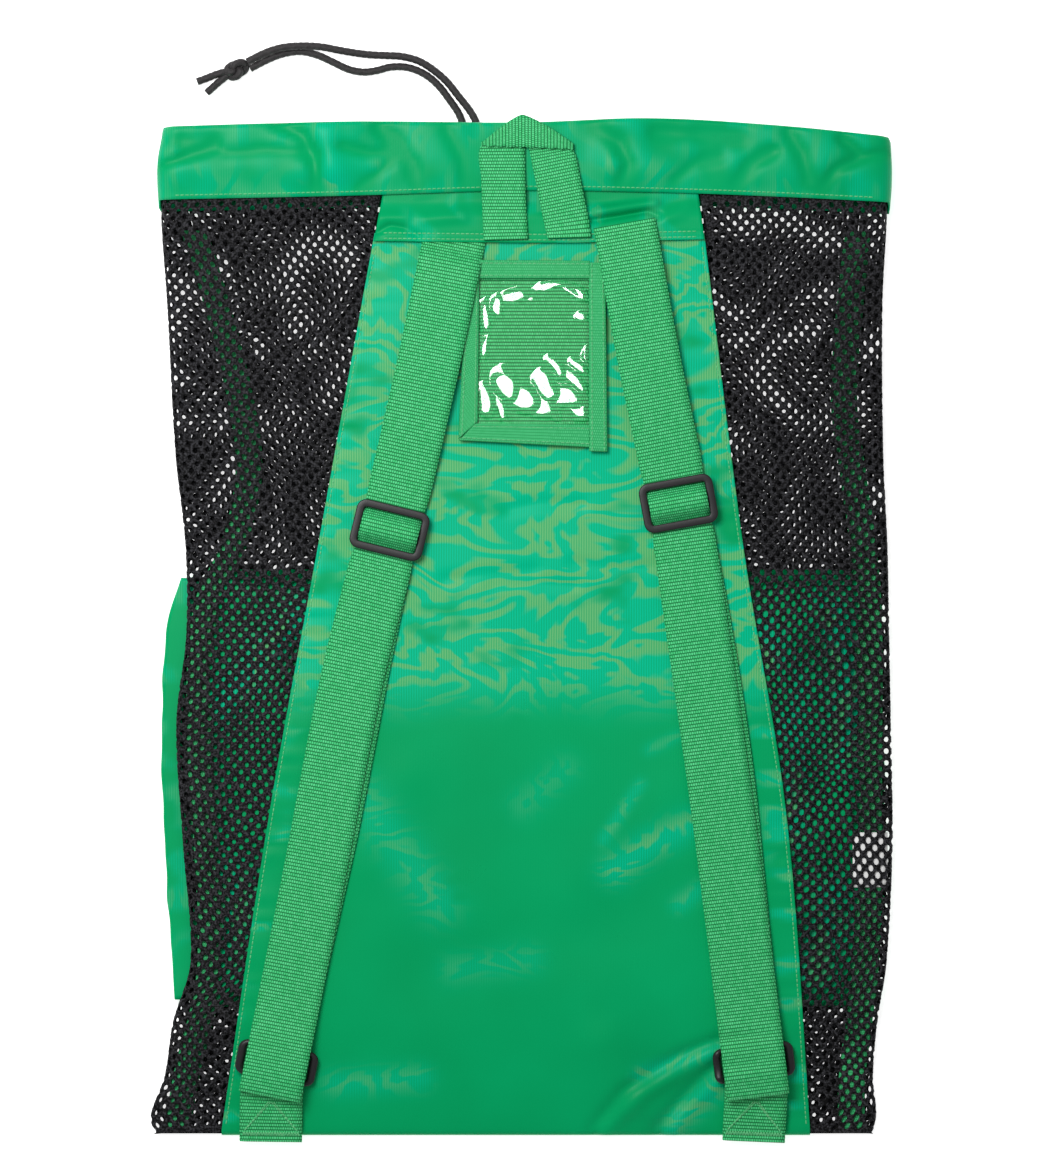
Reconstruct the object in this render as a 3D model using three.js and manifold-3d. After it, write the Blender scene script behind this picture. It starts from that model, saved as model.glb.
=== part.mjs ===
// Mesh equipment backpack, empty, lying on its front with the shoulder straps up.
// Millimetres. +Z is up from the floor, +Y runs to the mouth, +X to the right seen from above.
// The origin is on the floor under the middle of the bag's outline, without the free cord ends.

import * as THREE from 'three';
import { mergeVertices } from 'three/addons/utils/BufferGeometryUtils.js';
import Module from 'manifold-3d';

const wasm = await Module();
wasm.setup();

// Driving dimensions
const GAP = 0.3;
const NYLON = 1.0;
const NET = 1.2;
const TAPE = { width: 16, thickness: 1.2 };
const STRAP = { width: 37.4, thickness: 1.6 };
const LOOP_WEBBING = { width: 26, thickness: 1.4 };
const CORD = { radius: 2.2, sides: 8 };
const HEM = { left: -219.3, right: 222.8, level: 264, channel: 2.5, slot: 0.9, flare: 14, frontDrop: 3 };
const EYELET = { x: -31, y: 302, width: 22, length: 14 };
const SLIDER = { width: 44.8, length: 30, thickness: 3.2, bar: 3.6, middleBar: 4, side: 3.2,
  corner: 6, slotCorner: 1.2, above: 4.6 };
const RING = { width: 47, length: 21.7, bar: 3.2, corner: 4, fromFold: -20.2, above: 4.5 };
const NET_GAP = { halfWidth: 4.5, halfLength: 6, pitchX: 50, pitchY: 44, margin: 13 };
const SIDE_LAP = { width: 8, top: 226 };
const LAP_GAP = 0.5;
const SEAM_GAP = 0.25;
const POCKET = { top: 33, bottom: -224, flapRadius: 1.7, seam: 4, lift: 2.8, liftLength: 22 };
const BOTTOM = { fold: -301.4, hem: -284, net: -300, tape: -286 };
const PANEL_TOP = 238;
const NET_TOP = 262;
const TAPE_TOP = 240;
const LABEL = { width: 21, length: 33, thickness: 0.8, y: -138.5, fromFold: 3.2 };
const YOKE = { low: 233, high: 268, tuck: 5, spare: 0.2 };
const FOLD_TURNS = [1 / 3, 2 / 3];

const NYLON_GREEN = { color: 0x0aa562, roughness: 0.5, metalness: 0 };
const WEBBING_GREEN = { color: 0x3cb45a, roughness: 0.75, metalness: 0 };
const NET_BLACK = { color: 0x17161a, roughness: 0.65, metalness: 0 };
const CORD_BLACK = { color: 0x1b191b, roughness: 0.8, metalness: 0 };
const PLASTIC_BLACK = { color: 0x232023, roughness: 0.4, metalness: 0 };
const CLEAR_VINYL = { color: 0xd8ecdf, roughness: 0.08, metalness: 0 };
const LABEL_WHITE = { color: 0xf2f2f0, roughness: 0.7, metalness: 0 };

// Side folds of the net, seen from above, by Y from the bottom edge up to the hem
const OUTLINE = [
  { at: -304, left: -221.5, right: 211.5 },
  { at: -292, left: -223.5, right: 214.0 },
  { at: -270, left: -215.5, right: 212.0 },
  { at: -236, left: -210.0, right: 214.5 },
  { at: -200, left: -199.5, right: 220.0 },
  { at: -129, left: -204.0, right: 223.5 },
  { at: -57, left: -208.0, right: 222.5 },
  { at: -3, left: -202.0, right: 221.5 },
  { at: 50, left: -202.5, right: 220.5 },
  { at: 105, left: -208.5, right: 218.0 },
  { at: 195, left: -213.5, right: 217.5 },
  { at: 246, left: -217.0, right: 220.0 },
  { at: 258, left: -216.4, right: 219.9 },
  { at: 264, left: -216.4, right: 219.9 },
];

// Edges of the green back panel, by Y
const PANEL_EDGES = [
  { at: -304, left: -181.0, right: 174.0 },
  { at: -111, left: -151.5, right: 159.0 },
  { at: 51, left: -122.0, right: 133.0 },
  { at: 264, left: -83.6, right: 106.5 },
];

// Long seams of the front, by Y, bowed inwards above the pocket
const FRONT_SEAMS = [
  { at: -304, left: -208.0, right: 199.0 },
  { at: -270, left: -202.0, right: 199.0 },
  { at: -200, left: -187.0, right: 207.0 },
  { at: -57, left: -193.5, right: 209.0 },
  { at: 15, left: -189.0, right: 208.5 },
  { at: 54, left: -172.0, right: 205.0 },
  { at: 96, left: -164.0, right: 199.0 },
  { at: 138, left: -169.0, right: 194.0 },
  { at: 198, left: -184.0, right: 198.0 },
  { at: 250, left: -200.0, right: 204.0 },
  { at: 264, left: -202.0, right: 205.0 },
];

// Heights by Y: the front layer, the curl radius of the side folds, the crown of the back layer
const HEIGHTS = [
  { at: -304, front: 1.9, curl: 1.2, crown: 5.7 },
  { at: -292, front: 1.9, curl: 1.6, crown: 8.4 },
  { at: -270, front: 2.8, curl: 1.9, crown: 12.0 },
  { at: -236, front: 5.6, curl: 2.2, crown: 16.0 },
  { at: -190, front: 6.6, curl: 2.2, crown: 18.5 },
  { at: -120, front: 7.0, curl: 2.2, crown: 20.0 },
  { at: 120, front: 7.0, curl: 2.2, crown: 20.0 },
  { at: 190, front: 5.4, curl: 3.2, crown: 18.6 },
  { at: 246, front: 3.5, curl: 6.5, crown: 16.5 },
  { at: 264, front: 3.5, curl: 6.5, crown: 16.5 },
];

// Sections at which the walls are drawn, closer together where they curve
const SECTIONS = [-300, -292, -274, -250, -224, -196, -164, -129, -80, -30, 10, 33, 60, 96, 138, 178, 206, 226];
const HEM_SECTIONS = [240, 249, 258];

// Soft ridges and dents of the back layer, each along a line
const FOLDS = [
  { fromX: 50, fromY: -250, toX: 78, toY: -300, height: 2.6, width: 15 },
  { fromX: 78, fromY: -262, toX: 108, toY: -296, height: -1.8, width: 13 },
  { fromX: -205, fromY: -282, toX: -184, toY: -236, height: 1.6, width: 14 },
  { fromX: -190, fromY: 40, toX: -152, toY: 96, height: -1.6, width: 18 },
  { fromX: 196, fromY: -262, toX: 190, toY: -180, height: -1.4, width: 16 },
  { fromX: -60, fromY: -210, toX: 60, toY: -170, height: -1.5, width: 30 },
  { fromX: -20, fromY: 20, toX: 30, toY: -90, height: 1.2, width: 34 },
];

// Top and bottom edges of the hem, by X
const HEM_EDGES = [
  { at: -218, top: 302.0, bottom: 258.0 },
  { at: -100, top: 305.0, bottom: 260.5 },
  { at: 0, top: 304.5, bottom: 263.5 },
  { at: 78, top: 307.0, bottom: 262.5 },
  { at: 150, top: 303.0, bottom: 260.0 },
  { at: 221, top: 296.0, bottom: 256.5 },
];

// Folds across the back of the hem: place along X, lean of the fold, height, width
const HEM_FOLDS = [
  { x: -118, lean: 0.55, height: 1.6, width: 20 },
  { x: -80, lean: 0.45, height: -1.4, width: 18 },
  { x: 60, lean: -0.3, height: 1.5, width: 20 },
  { x: 118, lean: 0.8, height: -1.5, width: 22 },
  { x: 186, lean: -0.4, height: 1.4, width: 18 },
];

// Side folds of the pocket, by Y; the left one stands out past the net
const POCKET_EDGES = [
  { at: -224, left: -209.0, right: 214.0 },
  { at: -147, left: -214.0, right: 219.0 },
  { at: -75, left: -217.0, right: 218.5 },
  { at: -3, left: -214.5, right: 217.0 },
  { at: 15, left: -210.5, right: 216.5 },
  { at: 33, left: -204.5, right: 214.0 },
];

// Lower edge of the yoke, by X, drawn up over the right strap's end
const YOKE_EDGE = [
  { at: -84, edge: 233 },
  { at: 25, edge: 232 },
  { at: 62, edge: 240 },
  { at: 107, edge: 235 },
];

// Centre lines of the straps, from the yoke to the fold at the ring
const STRAPS = [
  {
    side: 'left',
    line: [[-39.5, 237.5], [-58, 149], [-79, 59.7], [-101, -27], [-126, -156], [-151, -280]],
    sliderAt: [-79, 59.7],
    backShift: 3,
  },
  {
    side: 'right',
    line: [[61.7, 243.5], [76, 164], [94, 75.6], [102.6, 19], [121, -112], [142, -280]],
    sliderAt: [94, 75.6],
    backShift: 3,
  },
];

// The strap's way, in mm along it and above the cloth: from the yoke to the slider,
// through the slider, to the ring, round it and back up, and round the slider's middle bar.
// Each place is measured from the named mark.
const STRAP_WAY = [
  { mark: 'yoke', along: 0, above: 1.7 },
  { mark: 'yoke', along: 9, above: 1.8 },
  { mark: 'yoke', along: 18, above: 6.2 },
  { mark: 'yoke', along: 32, above: 6.4 },
  { mark: 'yoke', along: 62, above: 6.4 },
  { mark: 'yoke', along: 95, above: 6.2 },
  { mark: 'yoke', along: 125, above: 5.2 },
  { mark: 'slider', along: -24, above: 3.6 },
  { mark: 'slider', along: -15.5, above: 3.5 },
  { mark: 'slider', along: -10.6, above: 3.5 },
  { mark: 'slider', along: -7.6, above: 6.0 },
  { mark: 'slider', along: -4.8, above: 9.2 },
  { mark: 'slider', along: -2, above: 10.8 },
  { mark: 'slider', along: 2, above: 10.8 },
  { mark: 'slider', along: 4.8, above: 9.2 },
  { mark: 'slider', along: 7.6, above: 6.0 },
  { mark: 'slider', along: 10.6, above: 3.5 },
  { mark: 'slider', along: 15.5, above: 3.5 },
  { mark: 'slider', along: 24, above: 3.7 },
  { mark: 'slider', along: 60, above: 3.9 },
  { mark: 'slider', along: 100, above: 3.9 },
  { mark: 'slider', along: 140, above: 3.9 },
  { mark: 'slider', along: 180, above: 3.9 },
  { mark: 'slider', along: 220, above: 3.9 },
  { mark: 'ring', along: -72, above: 4.0 },
  { mark: 'ring', along: -52, above: 5.0 },
  { mark: 'ring', along: -36, above: 7.8 },
  { mark: 'ring', along: -24, above: 9.9 },
  { mark: 'ring', along: -12, above: 11.6 },
  { mark: 'ring', along: -4, above: 11.6 },
  { mark: 'ring', along: -1.2, above: 11.3 },
  { mark: 'ring', along: 0, above: 10.35 },
  { mark: 'ring', along: -1.2, above: 9.4 },
  { mark: 'ring', along: -4, above: 9.1 },
  { mark: 'ring', along: -12, above: 9.1 },
  { mark: 'ring', along: -16.2, above: 8.7 },
  { mark: 'ring', along: -19.8, above: 6.5 },
  { mark: 'ring', along: -23.4, above: 3.5 },
  { mark: 'ring', along: -27, above: 1.9 },
  { mark: 'ring', along: -31, above: 1.75 },
  { mark: 'ring', along: -44, above: 1.8 },
  { mark: 'ring', along: -58, above: 1.8 },
  { mark: 'ring', along: -72, above: 1.75 },
  { mark: 'slider', along: 220, above: 1.65, shift: 0.5 },
  { mark: 'slider', along: 180, above: 1.65, shift: 0.9 },
  { mark: 'slider', along: 140, above: 1.65, shift: 1 },
  { mark: 'slider', along: 100, above: 1.65, shift: 0.9 },
  { mark: 'slider', along: 60, above: 1.65, shift: 0.5 },
  { mark: 'slider', along: 24, above: 1.65 },
  { mark: 'slider', along: 12, above: 1.8 },
  { mark: 'slider', along: 6, above: 2.7 },
  { mark: 'slider', along: 2, above: 3.45 },
  { mark: 'slider', along: -2.2, above: 3.45 },
  { mark: 'slider', along: -3.2, above: 4.3 },
  { mark: 'slider', along: -3.3, above: 6.2 },
  { mark: 'slider', along: -3.2, above: 8.1 },
  { mark: 'slider', along: -2.2, above: 8.95 },
  { mark: 'slider', along: 2.4, above: 8.95 },
];

// The tab's way round the ring's lower bar, in mm from the strap's fold and above the cloth
const TAB_WAY = [
  { along: 18.5, above: 1.9 },
  { along: 6, above: 1.8 },
  { along: -6, above: 1.75 },
  { along: -11, above: 1.75 },
  { along: -13.2, above: 2.6 },
  { along: -14, above: 4.5 },
  { along: -13.2, above: 6.4 },
  { along: -11, above: 7.2 },
  { along: -6, above: 6.8 },
  { along: 6, above: 4.4 },
  { along: 17, above: 3.7 },
  { along: 26, above: 2.4 },
];

// A column's value at a place in a table, on a smooth curve through its rows
function valueAt(table, column, place) {
  const last = table.length - 1;
  const inside = THREE.MathUtils.clamp(place, table[0].at, table[last].at);
  let row = 0;
  while (row < last - 1 && table[row + 1].at < inside) row += 1;
  const a = table[row];
  const b = table[row + 1];
  const before = table[Math.max(row - 1, 0)];
  const after = table[Math.min(row + 2, last)];
  const span = b.at - a.at;
  const slopeA = span * (b[column] - before[column]) / (b.at - before.at);
  const slopeB = span * (after[column] - a[column]) / (after.at - a.at);
  const t = (inside - a.at) / span;
  const t2 = t * t;
  const t3 = t2 * t;
  return (2 * t3 - 3 * t2 + 1) * a[column] + (t3 - 2 * t2 + t) * slopeA
    + (3 * t2 - 2 * t3) * b[column] + (t3 - t2) * slopeB;
}

// Height that a fold adds at a point, fading away from its line
function foldHeight(fold, x, y) {
  const runX = fold.toX - fold.fromX;
  const runY = fold.toY - fold.fromY;
  const along = ((x - fold.fromX) * runX + (y - fold.fromY) * runY) / (runX * runX + runY * runY);
  const t = THREE.MathUtils.clamp(along, 0, 1);
  const awayX = x - fold.fromX - t * runX;
  const awayY = y - fold.fromY - t * runY;
  const away = (awayX * awayX + awayY * awayY) / (fold.width * fold.width);
  return fold.height * Math.exp(-away);
}

// How far the net lies below the panel where it laps under it; nothing inside the hem
function lapDrop(y) {
  const full = NYLON / 2 + LAP_GAP + NET / 2;
  return full * (1 - THREE.MathUtils.smoothstep(y, PANEL_TOP, HEM_SECTIONS[2] - 6));
}

// Middle of the back layer at a point: flat over the crown, falling to the side folds
function backHeight(x, y) {
  const curl = valueAt(HEIGHTS, 'curl', y);
  const left = valueAt(OUTLINE, 'left', y) + NET / 2 + curl;
  const right = valueAt(OUTLINE, 'right', y) - NET / 2 - curl;
  const offCentre = Math.min(Math.abs(2 * x - left - right) / (right - left), 1);
  const edge = valueAt(HEIGHTS, 'front', y) + 2 * curl + lapDrop(y);
  const crown = valueAt(HEIGHTS, 'crown', y);
  const flat = 1 - offCentre ** 5;
  const fadeLow = THREE.MathUtils.smoothstep(y, BOTTOM.fold - 2.6, BOTTOM.fold + 16.4);
  const fadeHigh = 1 - THREE.MathUtils.smoothstep(y, PANEL_TOP - 23, PANEL_TOP + 2);
  let folds = 0;
  for (const fold of FOLDS) folds += foldHeight(fold, x, y);
  return edge + (crown - edge) * flat + folds * fadeLow * fadeHigh * Math.min(flat * 2, 1);
}

function onBack(x, y, above) {
  return new THREE.Vector3(x, y, backHeight(x, y) + above);
}

function range(from, to, cells) {
  const stops = [];
  for (let i = 0; i <= cells; i += 1) stops.push(from + (to - from) * i / cells);
  return stops;
}

// Makes a geometry one closed body: only places count, and its faces point out
function closed(geometry) {
  for (const name of ['normal', 'uv']) geometry.deleteAttribute(name);
  const merged = mergeVertices(geometry, 1e-4);
  merged.clearGroups();
  const place = merged.attributes.position;
  const corner = [new THREE.Vector3(), new THREE.Vector3(), new THREE.Vector3()];
  let volume = 0;
  for (let i = 0; i < merged.index.count; i += 3) {
    corner.forEach((point, k) => point.fromBufferAttribute(place, merged.index.getX(i + k)));
    volume += corner[0].dot(corner[1].clone().cross(corner[2]));
  }
  if (volume < 0) merged.index.array.reverse();
  return merged;
}

// A sheet of cloth: a flat box bent so that its middle runs through rows of points
function sheet(rows, thickness) {
  const cellsAlong = rows.length - 1;
  const cellsAcross = rows[0].length - 1;
  const box = new THREE.BoxGeometry(1, 1, 1, cellsAcross, cellsAlong, 1);
  const place = box.attributes.position;
  for (let i = 0; i < place.count; i += 1) {
    const column = Math.round((place.getX(i) + 0.5) * cellsAcross);
    const row = Math.round((place.getY(i) + 0.5) * cellsAlong);
    const acrossFrom = rows[row][Math.max(column - 1, 0)];
    const acrossTo = rows[row][Math.min(column + 1, cellsAcross)];
    const alongFrom = rows[Math.max(row - 1, 0)][column];
    const alongTo = rows[Math.min(row + 1, cellsAlong)][column];
    const across = acrossTo.clone().sub(acrossFrom);
    const along = alongTo.clone().sub(alongFrom);
    const offset = across.cross(along).setLength(place.getZ(i) * thickness);
    const point = rows[row][column].clone().add(offset);
    place.setXYZ(i, point.x, point.y, point.z);
  }
  return closed(box);
}

// A closed loop of one section: each station has a middle and two directions
function loop(stations, section) {
  const torus = new THREE.TorusGeometry(2, 1, section.length, stations.length);
  const place = torus.attributes.position;
  const uv = torus.attributes.uv;
  for (let i = 0; i < place.count; i += 1) {
    const station = stations[Math.round(uv.getX(i) * stations.length) % stations.length];
    const [out, up] = section[Math.round(uv.getY(i) * section.length) % section.length];
    const point = station.middle.clone();
    point.addScaledVector(station.out, out).addScaledVector(station.up, up);
    place.setXYZ(i, point.x, point.y, point.z);
  }
  return closed(torus);
}

// A route that keeps its own stations instead of spacing them evenly
class StationRoute extends THREE.CatmullRomCurve3 {
  getPointAt(t, target) {
    return this.getPoint(t, target);
  }

  getTangentAt(t, target) {
    return this.getTangent(t, target);
  }
}

function circle(radius, sides) {
  const points = [];
  for (let i = 0; i < sides; i += 1) {
    const angle = 2 * Math.PI * (i + 0.5) / sides;
    points.push(new THREE.Vector2(radius * Math.cos(angle), radius * Math.sin(angle)));
  }
  return points;
}

function tube(points, radius, sides) {
  const path = new StationRoute(points);
  const section = new THREE.Shape(circle(radius, sides));
  return closed(new THREE.ExtrudeGeometry(section, { steps: points.length - 1, extrudePath: path }));
}

function toSolid(geometry) {
  const vertProperties = new Float32Array(geometry.attributes.position.array);
  const triVerts = new Uint32Array(geometry.index.array);
  return new wasm.Manifold(new wasm.Mesh({ numProp: 3, vertProperties, triVerts }));
}

function toGeometry(solid) {
  const mesh = solid.getMesh();
  const geometry = new THREE.BufferGeometry();
  geometry.setAttribute('position', new THREE.BufferAttribute(mesh.vertProperties, 3));
  geometry.setIndex(new THREE.BufferAttribute(mesh.triVerts, 1));
  return geometry;
}

const bag = new THREE.Group();

function piece(name, geometry, finish) {
  const mesh = new THREE.Mesh(geometry, new THREE.MeshStandardMaterial(finish));
  mesh.name = name;
  bag.add(mesh);
  return mesh;
}

// Net gaps: upright six-sided cuts in staggered rows inside a region
function cutNet(geometry, region) {
  const outline = [];
  for (let i = 0; i < 6; i += 1) {
    const angle = Math.PI * (i + 0.5) / 3;
    outline.push(new THREE.Vector2(NET_GAP.halfWidth * Math.cos(angle), NET_GAP.halfLength * Math.sin(angle)));
  }
  const shape = new THREE.Shape(outline);
  let solid = toSolid(geometry);
  let row = 0;
  for (let y = region.fromY; y <= region.toY; y += NET_GAP.pitchY) {
    const first = region.left(y) + NET_GAP.margin + (row % 2) * NET_GAP.pitchX / 2;
    for (let x = first; x <= region.right(y) - NET_GAP.margin; x += NET_GAP.pitchX) {
      const cut = new THREE.ExtrudeGeometry(shape, { depth: region.depth, bevelEnabled: false });
      cut.translate(x, y, region.base(x, y));
      solid = solid.subtract(toSolid(closed(cut)));
    }
    row += 1;
  }
  return toGeometry(solid);
}

// Back panel, turned under along the bottom edge
function backPanel() {
  const rows = [];
  const across = range(0, 1, 12);
  const rowAt = (y, height) => across.map((t) => {
    const left = valueAt(PANEL_EDGES, 'left', y);
    const x = left + t * (valueAt(PANEL_EDGES, 'right', y) - left);
    return new THREE.Vector3(x, y, height(x));
  });
  for (const y of [PANEL_TOP, ...SECTIONS.toReversed()]) rows.push(rowAt(y, (x) => backHeight(x, y)));
  rows.push(rowAt(BOTTOM.fold, (x) => backHeight(x, BOTTOM.fold)));
  const under = NYLON / 2;
  const radius = (backHeight(0, BOTTOM.fold) - under) / 2;
  for (const turn of [0.3, 0.6, 0.85]) {
    const y = BOTTOM.fold - radius * Math.sin(Math.PI * turn);
    rows.push(rowAt(y, () => under + radius * (1 + Math.cos(Math.PI * turn))));
  }
  for (const y of [BOTTOM.fold, BOTTOM.hem]) rows.push(rowAt(y, () => under));
  return sheet(rows, NYLON);
}

// Yoke strip: its lower edge stands over the strap ends, its top goes into the hem
function yoke() {
  const lift = NYLON + 2 * GAP + STRAP.thickness + YOKE.spare;
  const rows = range(0, 1, 4).map((t) => range(0, 1, 12).map((s) => {
    const level = THREE.MathUtils.lerp(YOKE.low, YOKE.high, t);
    const left = valueAt(PANEL_EDGES, 'left', level) + 2 * SEAM_GAP;
    const x = left + s * (valueAt(PANEL_EDGES, 'right', level) - 2 * SEAM_GAP - left);
    const from = valueAt(YOKE_EDGE, 'edge', x);
    const y = from + t * (valueAt(HEM_EDGES, 'bottom', x) + YOKE.tuck - from);
    return onBack(x, y, lift * (1 - THREE.MathUtils.smoothstep(y, YOKE.low + 13, YOKE.low + 25)));
  }));
  return sheet(rows, NYLON);
}

// Side net: from under the panel's edge, round the side fold, to the front seam
function sideNet(side) {
  const sign = side === 'left' ? -1 : 1;
  const aboveLap = SIDE_LAP.top + 4;
  const rows = [...SECTIONS, aboveLap, ...HEM_SECTIONS, NET_TOP].map((y) => {
    const curl = valueAt(HEIGHTS, 'curl', y);
    const front = valueAt(HEIGHTS, 'front', y);
    const centre = valueAt(OUTLINE, side, y) - sign * (NET / 2 + curl);
    const lap = y > SIDE_LAP.top ? -2 * SEAM_GAP : SIDE_LAP.width;
    const inner = valueAt(PANEL_EDGES, side, y) - sign * lap;
    const row = range(0, 1, 3).map((t) => {
      const x = inner + (centre - inner) * t;
      return onBack(x, y, -lapDrop(y));
    });
    for (const turn of FOLD_TURNS) {
      const x = centre + sign * curl * Math.sin(Math.PI * turn);
      row.push(new THREE.Vector3(x, y, front + curl * (1 + Math.cos(Math.PI * turn))));
    }
    row.push(new THREE.Vector3(centre, y, front));
    row.push(new THREE.Vector3(valueAt(FRONT_SEAMS, side, y) + sign * SEAM_GAP, y, front));
    return row;
  });
  const outer = (y) => valueAt(OUTLINE, side, y);
  const inner = (y) => valueAt(PANEL_EDGES, side, y);
  return cutNet(sheet(rows, NET), {
    fromY: BOTTOM.net + 28,
    toY: NET_TOP - 17,
    left: side === 'left' ? outer : inner,
    right: side === 'left' ? inner : outer,
    base: (x, y) => backHeight(x, y) - 4 * NET,
    depth: 7 * NET,
  });
}

// A stretch of the front between its two long seams
function frontStretch(fromY, toY, thickness) {
  const levels = [...SECTIONS, ...HEM_SECTIONS].filter((y) => y > fromY + 1 && y < toY - 1);
  const rows = [fromY, ...levels, toY].map((y) => {
    const left = valueAt(FRONT_SEAMS, 'left', y) + SEAM_GAP;
    const right = valueAt(FRONT_SEAMS, 'right', y) - SEAM_GAP;
    return range(left, right, 3).map((x) => new THREE.Vector3(x, y, valueAt(HEIGHTS, 'front', y)));
  });
  return sheet(rows, thickness);
}

function frontNet(fromY, toY) {
  return cutNet(frontStretch(fromY, toY, NET), {
    fromY: fromY + NET_GAP.margin + 2,
    toY: toY - NET_GAP.margin,
    left: (y) => valueAt(FRONT_SEAMS, 'left', y),
    right: (y) => valueAt(FRONT_SEAMS, 'right', y),
    base: () => 0,
    depth: 8 * NET,
  });
}

// Outer wall of the pocket: flat on the floor, its sides fold back up to the seams
function pocketFace() {
  const onFloor = NYLON / 2;
  const rows = range(POCKET.bottom + 1, POCKET.top - 2, 10).map((y) => {
    const fade = THREE.MathUtils.smoothstep(y, POCKET.bottom, POCKET.bottom + POCKET.liftLength);
    const rise = POCKET.lift * (1 - fade);
    const seamHeight = valueAt(HEIGHTS, 'front', y) - NYLON - LAP_GAP;
    const turned = (side, sign) => {
      const radius = POCKET.flapRadius - rise * 0.35;
      const centre = valueAt(POCKET_EDGES, side, y) - sign * (onFloor + radius);
      const half = [new THREE.Vector3(valueAt(FRONT_SEAMS, side, y) - sign * POCKET.seam, y, seamHeight)];
      for (const turn of [0, 0.25, 0.5, 0.75]) {
        const x = centre + sign * radius * Math.sin(Math.PI * turn);
        half.push(new THREE.Vector3(x, y, onFloor + rise + radius * (1 + Math.cos(Math.PI * turn))));
      }
      half.push(new THREE.Vector3(centre, y, onFloor + rise));
      return half;
    };
    const left = turned('left', -1);
    const right = turned('right', 1).reverse();
    const floor = range(left[5].x, right[0].x, 6).slice(1, -1);
    return [...left, ...floor.map((x) => new THREE.Vector3(x, y, onFloor + rise)), ...right];
  });
  return sheet(rows, NYLON);
}

// Tape over a long front seam, on the inside
function seamTape(side) {
  const above = NET / 2 + LAP_GAP + TAPE.thickness / 2;
  const rows = [BOTTOM.tape, ...SECTIONS.slice(2), TAPE_TOP].map((y) => {
    const middle = valueAt(FRONT_SEAMS, side, y);
    const height = valueAt(HEIGHTS, 'front', y) + above;
    return [-1, 1].map((edge) => new THREE.Vector3(middle + edge * TAPE.width / 2, y, height));
  });
  return sheet(rows, TAPE.thickness);
}

// Stations round the mouth: across the back, down the right fold, across the front, up the left fold
function mouthStations() {
  const curl = valueAt(HEIGHTS, 'curl', HEM.level);
  const front = valueAt(HEIGHTS, 'front', HEM.level);
  const back = front + 2 * curl;
  const half = HEM.channel + NYLON;
  const left = HEM.left + half + curl;
  const right = HEM.right - half - curl;
  const stations = [];
  const add = (x, z, angle) => stations.push({
    middle: new THREE.Vector3(x, 0, z),
    out: new THREE.Vector3(Math.cos(angle), 0, Math.sin(angle)),
  });
  for (const x of range(left, right, 18)) add(x, back, Math.PI / 2);
  for (const turn of FOLD_TURNS) {
    const angle = Math.PI * (0.5 - turn);
    add(right + curl * Math.cos(angle), front + curl * (1 + Math.sin(angle)), angle);
  }
  for (const x of range(right, left, 8)) add(x, front, -Math.PI / 2);
  for (const turn of FOLD_TURNS) {
    const angle = -Math.PI * (0.5 + turn);
    add(left + curl * Math.cos(angle), front + curl * (1 + Math.sin(angle)), angle);
  }
  return stations;
}

// Wave of the hem's back wall, fading towards its lower edge
function hemWave(x, y) {
  let wave = 0;
  for (const fold of HEM_FOLDS) {
    const away = (x - fold.x - fold.lean * (y - HEM.level - 18)) / fold.width;
    wave += fold.height * Math.exp(-away * away);
  }
  return wave * THREE.MathUtils.smoothstep(y, HEM.level - 2, HEM.level + 20);
}

// Hem: a sleeve round the mouth, two walls joined over the top, open below for the net
function hemSleeve() {
  const wall = HEM.channel + NYLON;
  const lip = HEM.slot + NYLON;
  const crown = wall + 0.5;
  const front = valueAt(HEIGHTS, 'front', HEM.level);
  const curl = valueAt(HEIGHTS, 'curl', HEM.level);
  const section = [
    { out: lip, from: 'bottom', by: 0 },
    { out: wall, from: 'bottom', by: HEM.flare },
    { out: wall, from: 'top', by: crown },
    { out: 0, from: 'top', by: 0 },
    { out: -wall, from: 'top', by: crown },
    { out: -wall, from: 'bottom', by: HEM.flare },
    { out: -lip, from: 'bottom', by: 0 },
    { out: -HEM.slot, from: 'bottom', by: 0 },
    { out: -HEM.channel, from: 'bottom', by: HEM.flare },
    { out: -HEM.channel, from: 'top', by: crown },
    { out: 0, from: 'top', by: NYLON },
    { out: HEM.channel, from: 'top', by: crown },
    { out: HEM.channel, from: 'bottom', by: HEM.flare },
    { out: HEM.slot, from: 'bottom', by: 0 },
  ];
  const sleeve = loop(
    mouthStations().map((station) => ({ ...station, up: new THREE.Vector3(0, 1, 0) })),
    section.map((corner, i) => [corner.out, i]),
  );
  const place = sleeve.attributes.position;
  for (let i = 0; i < place.count; i += 1) {
    const corner = section[Math.round(place.getY(i))];
    const x = place.getX(i);
    const z = place.getZ(i);
    const onFront = 1 - THREE.MathUtils.smoothstep(z, front + wall, front + 2 * curl - wall);
    const edge = valueAt(HEM_EDGES, corner.from, x) - onFront * (corner.from === 'top' ? HEM.frontDrop : 0);
    const y = corner.from === 'top' ? edge - corner.by : edge + corner.by;
    place.setY(i, y);
    place.setZ(i, z + (1 - onFront) * hemWave(x, y));
  }
  const eyelet = new THREE.BoxGeometry(EYELET.width, EYELET.length, 2 * HEM.channel);
  eyelet.translate(EYELET.x, EYELET.y, front);
  return toGeometry(toSolid(closed(sleeve)).subtract(toSolid(closed(eyelet))));
}

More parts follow.
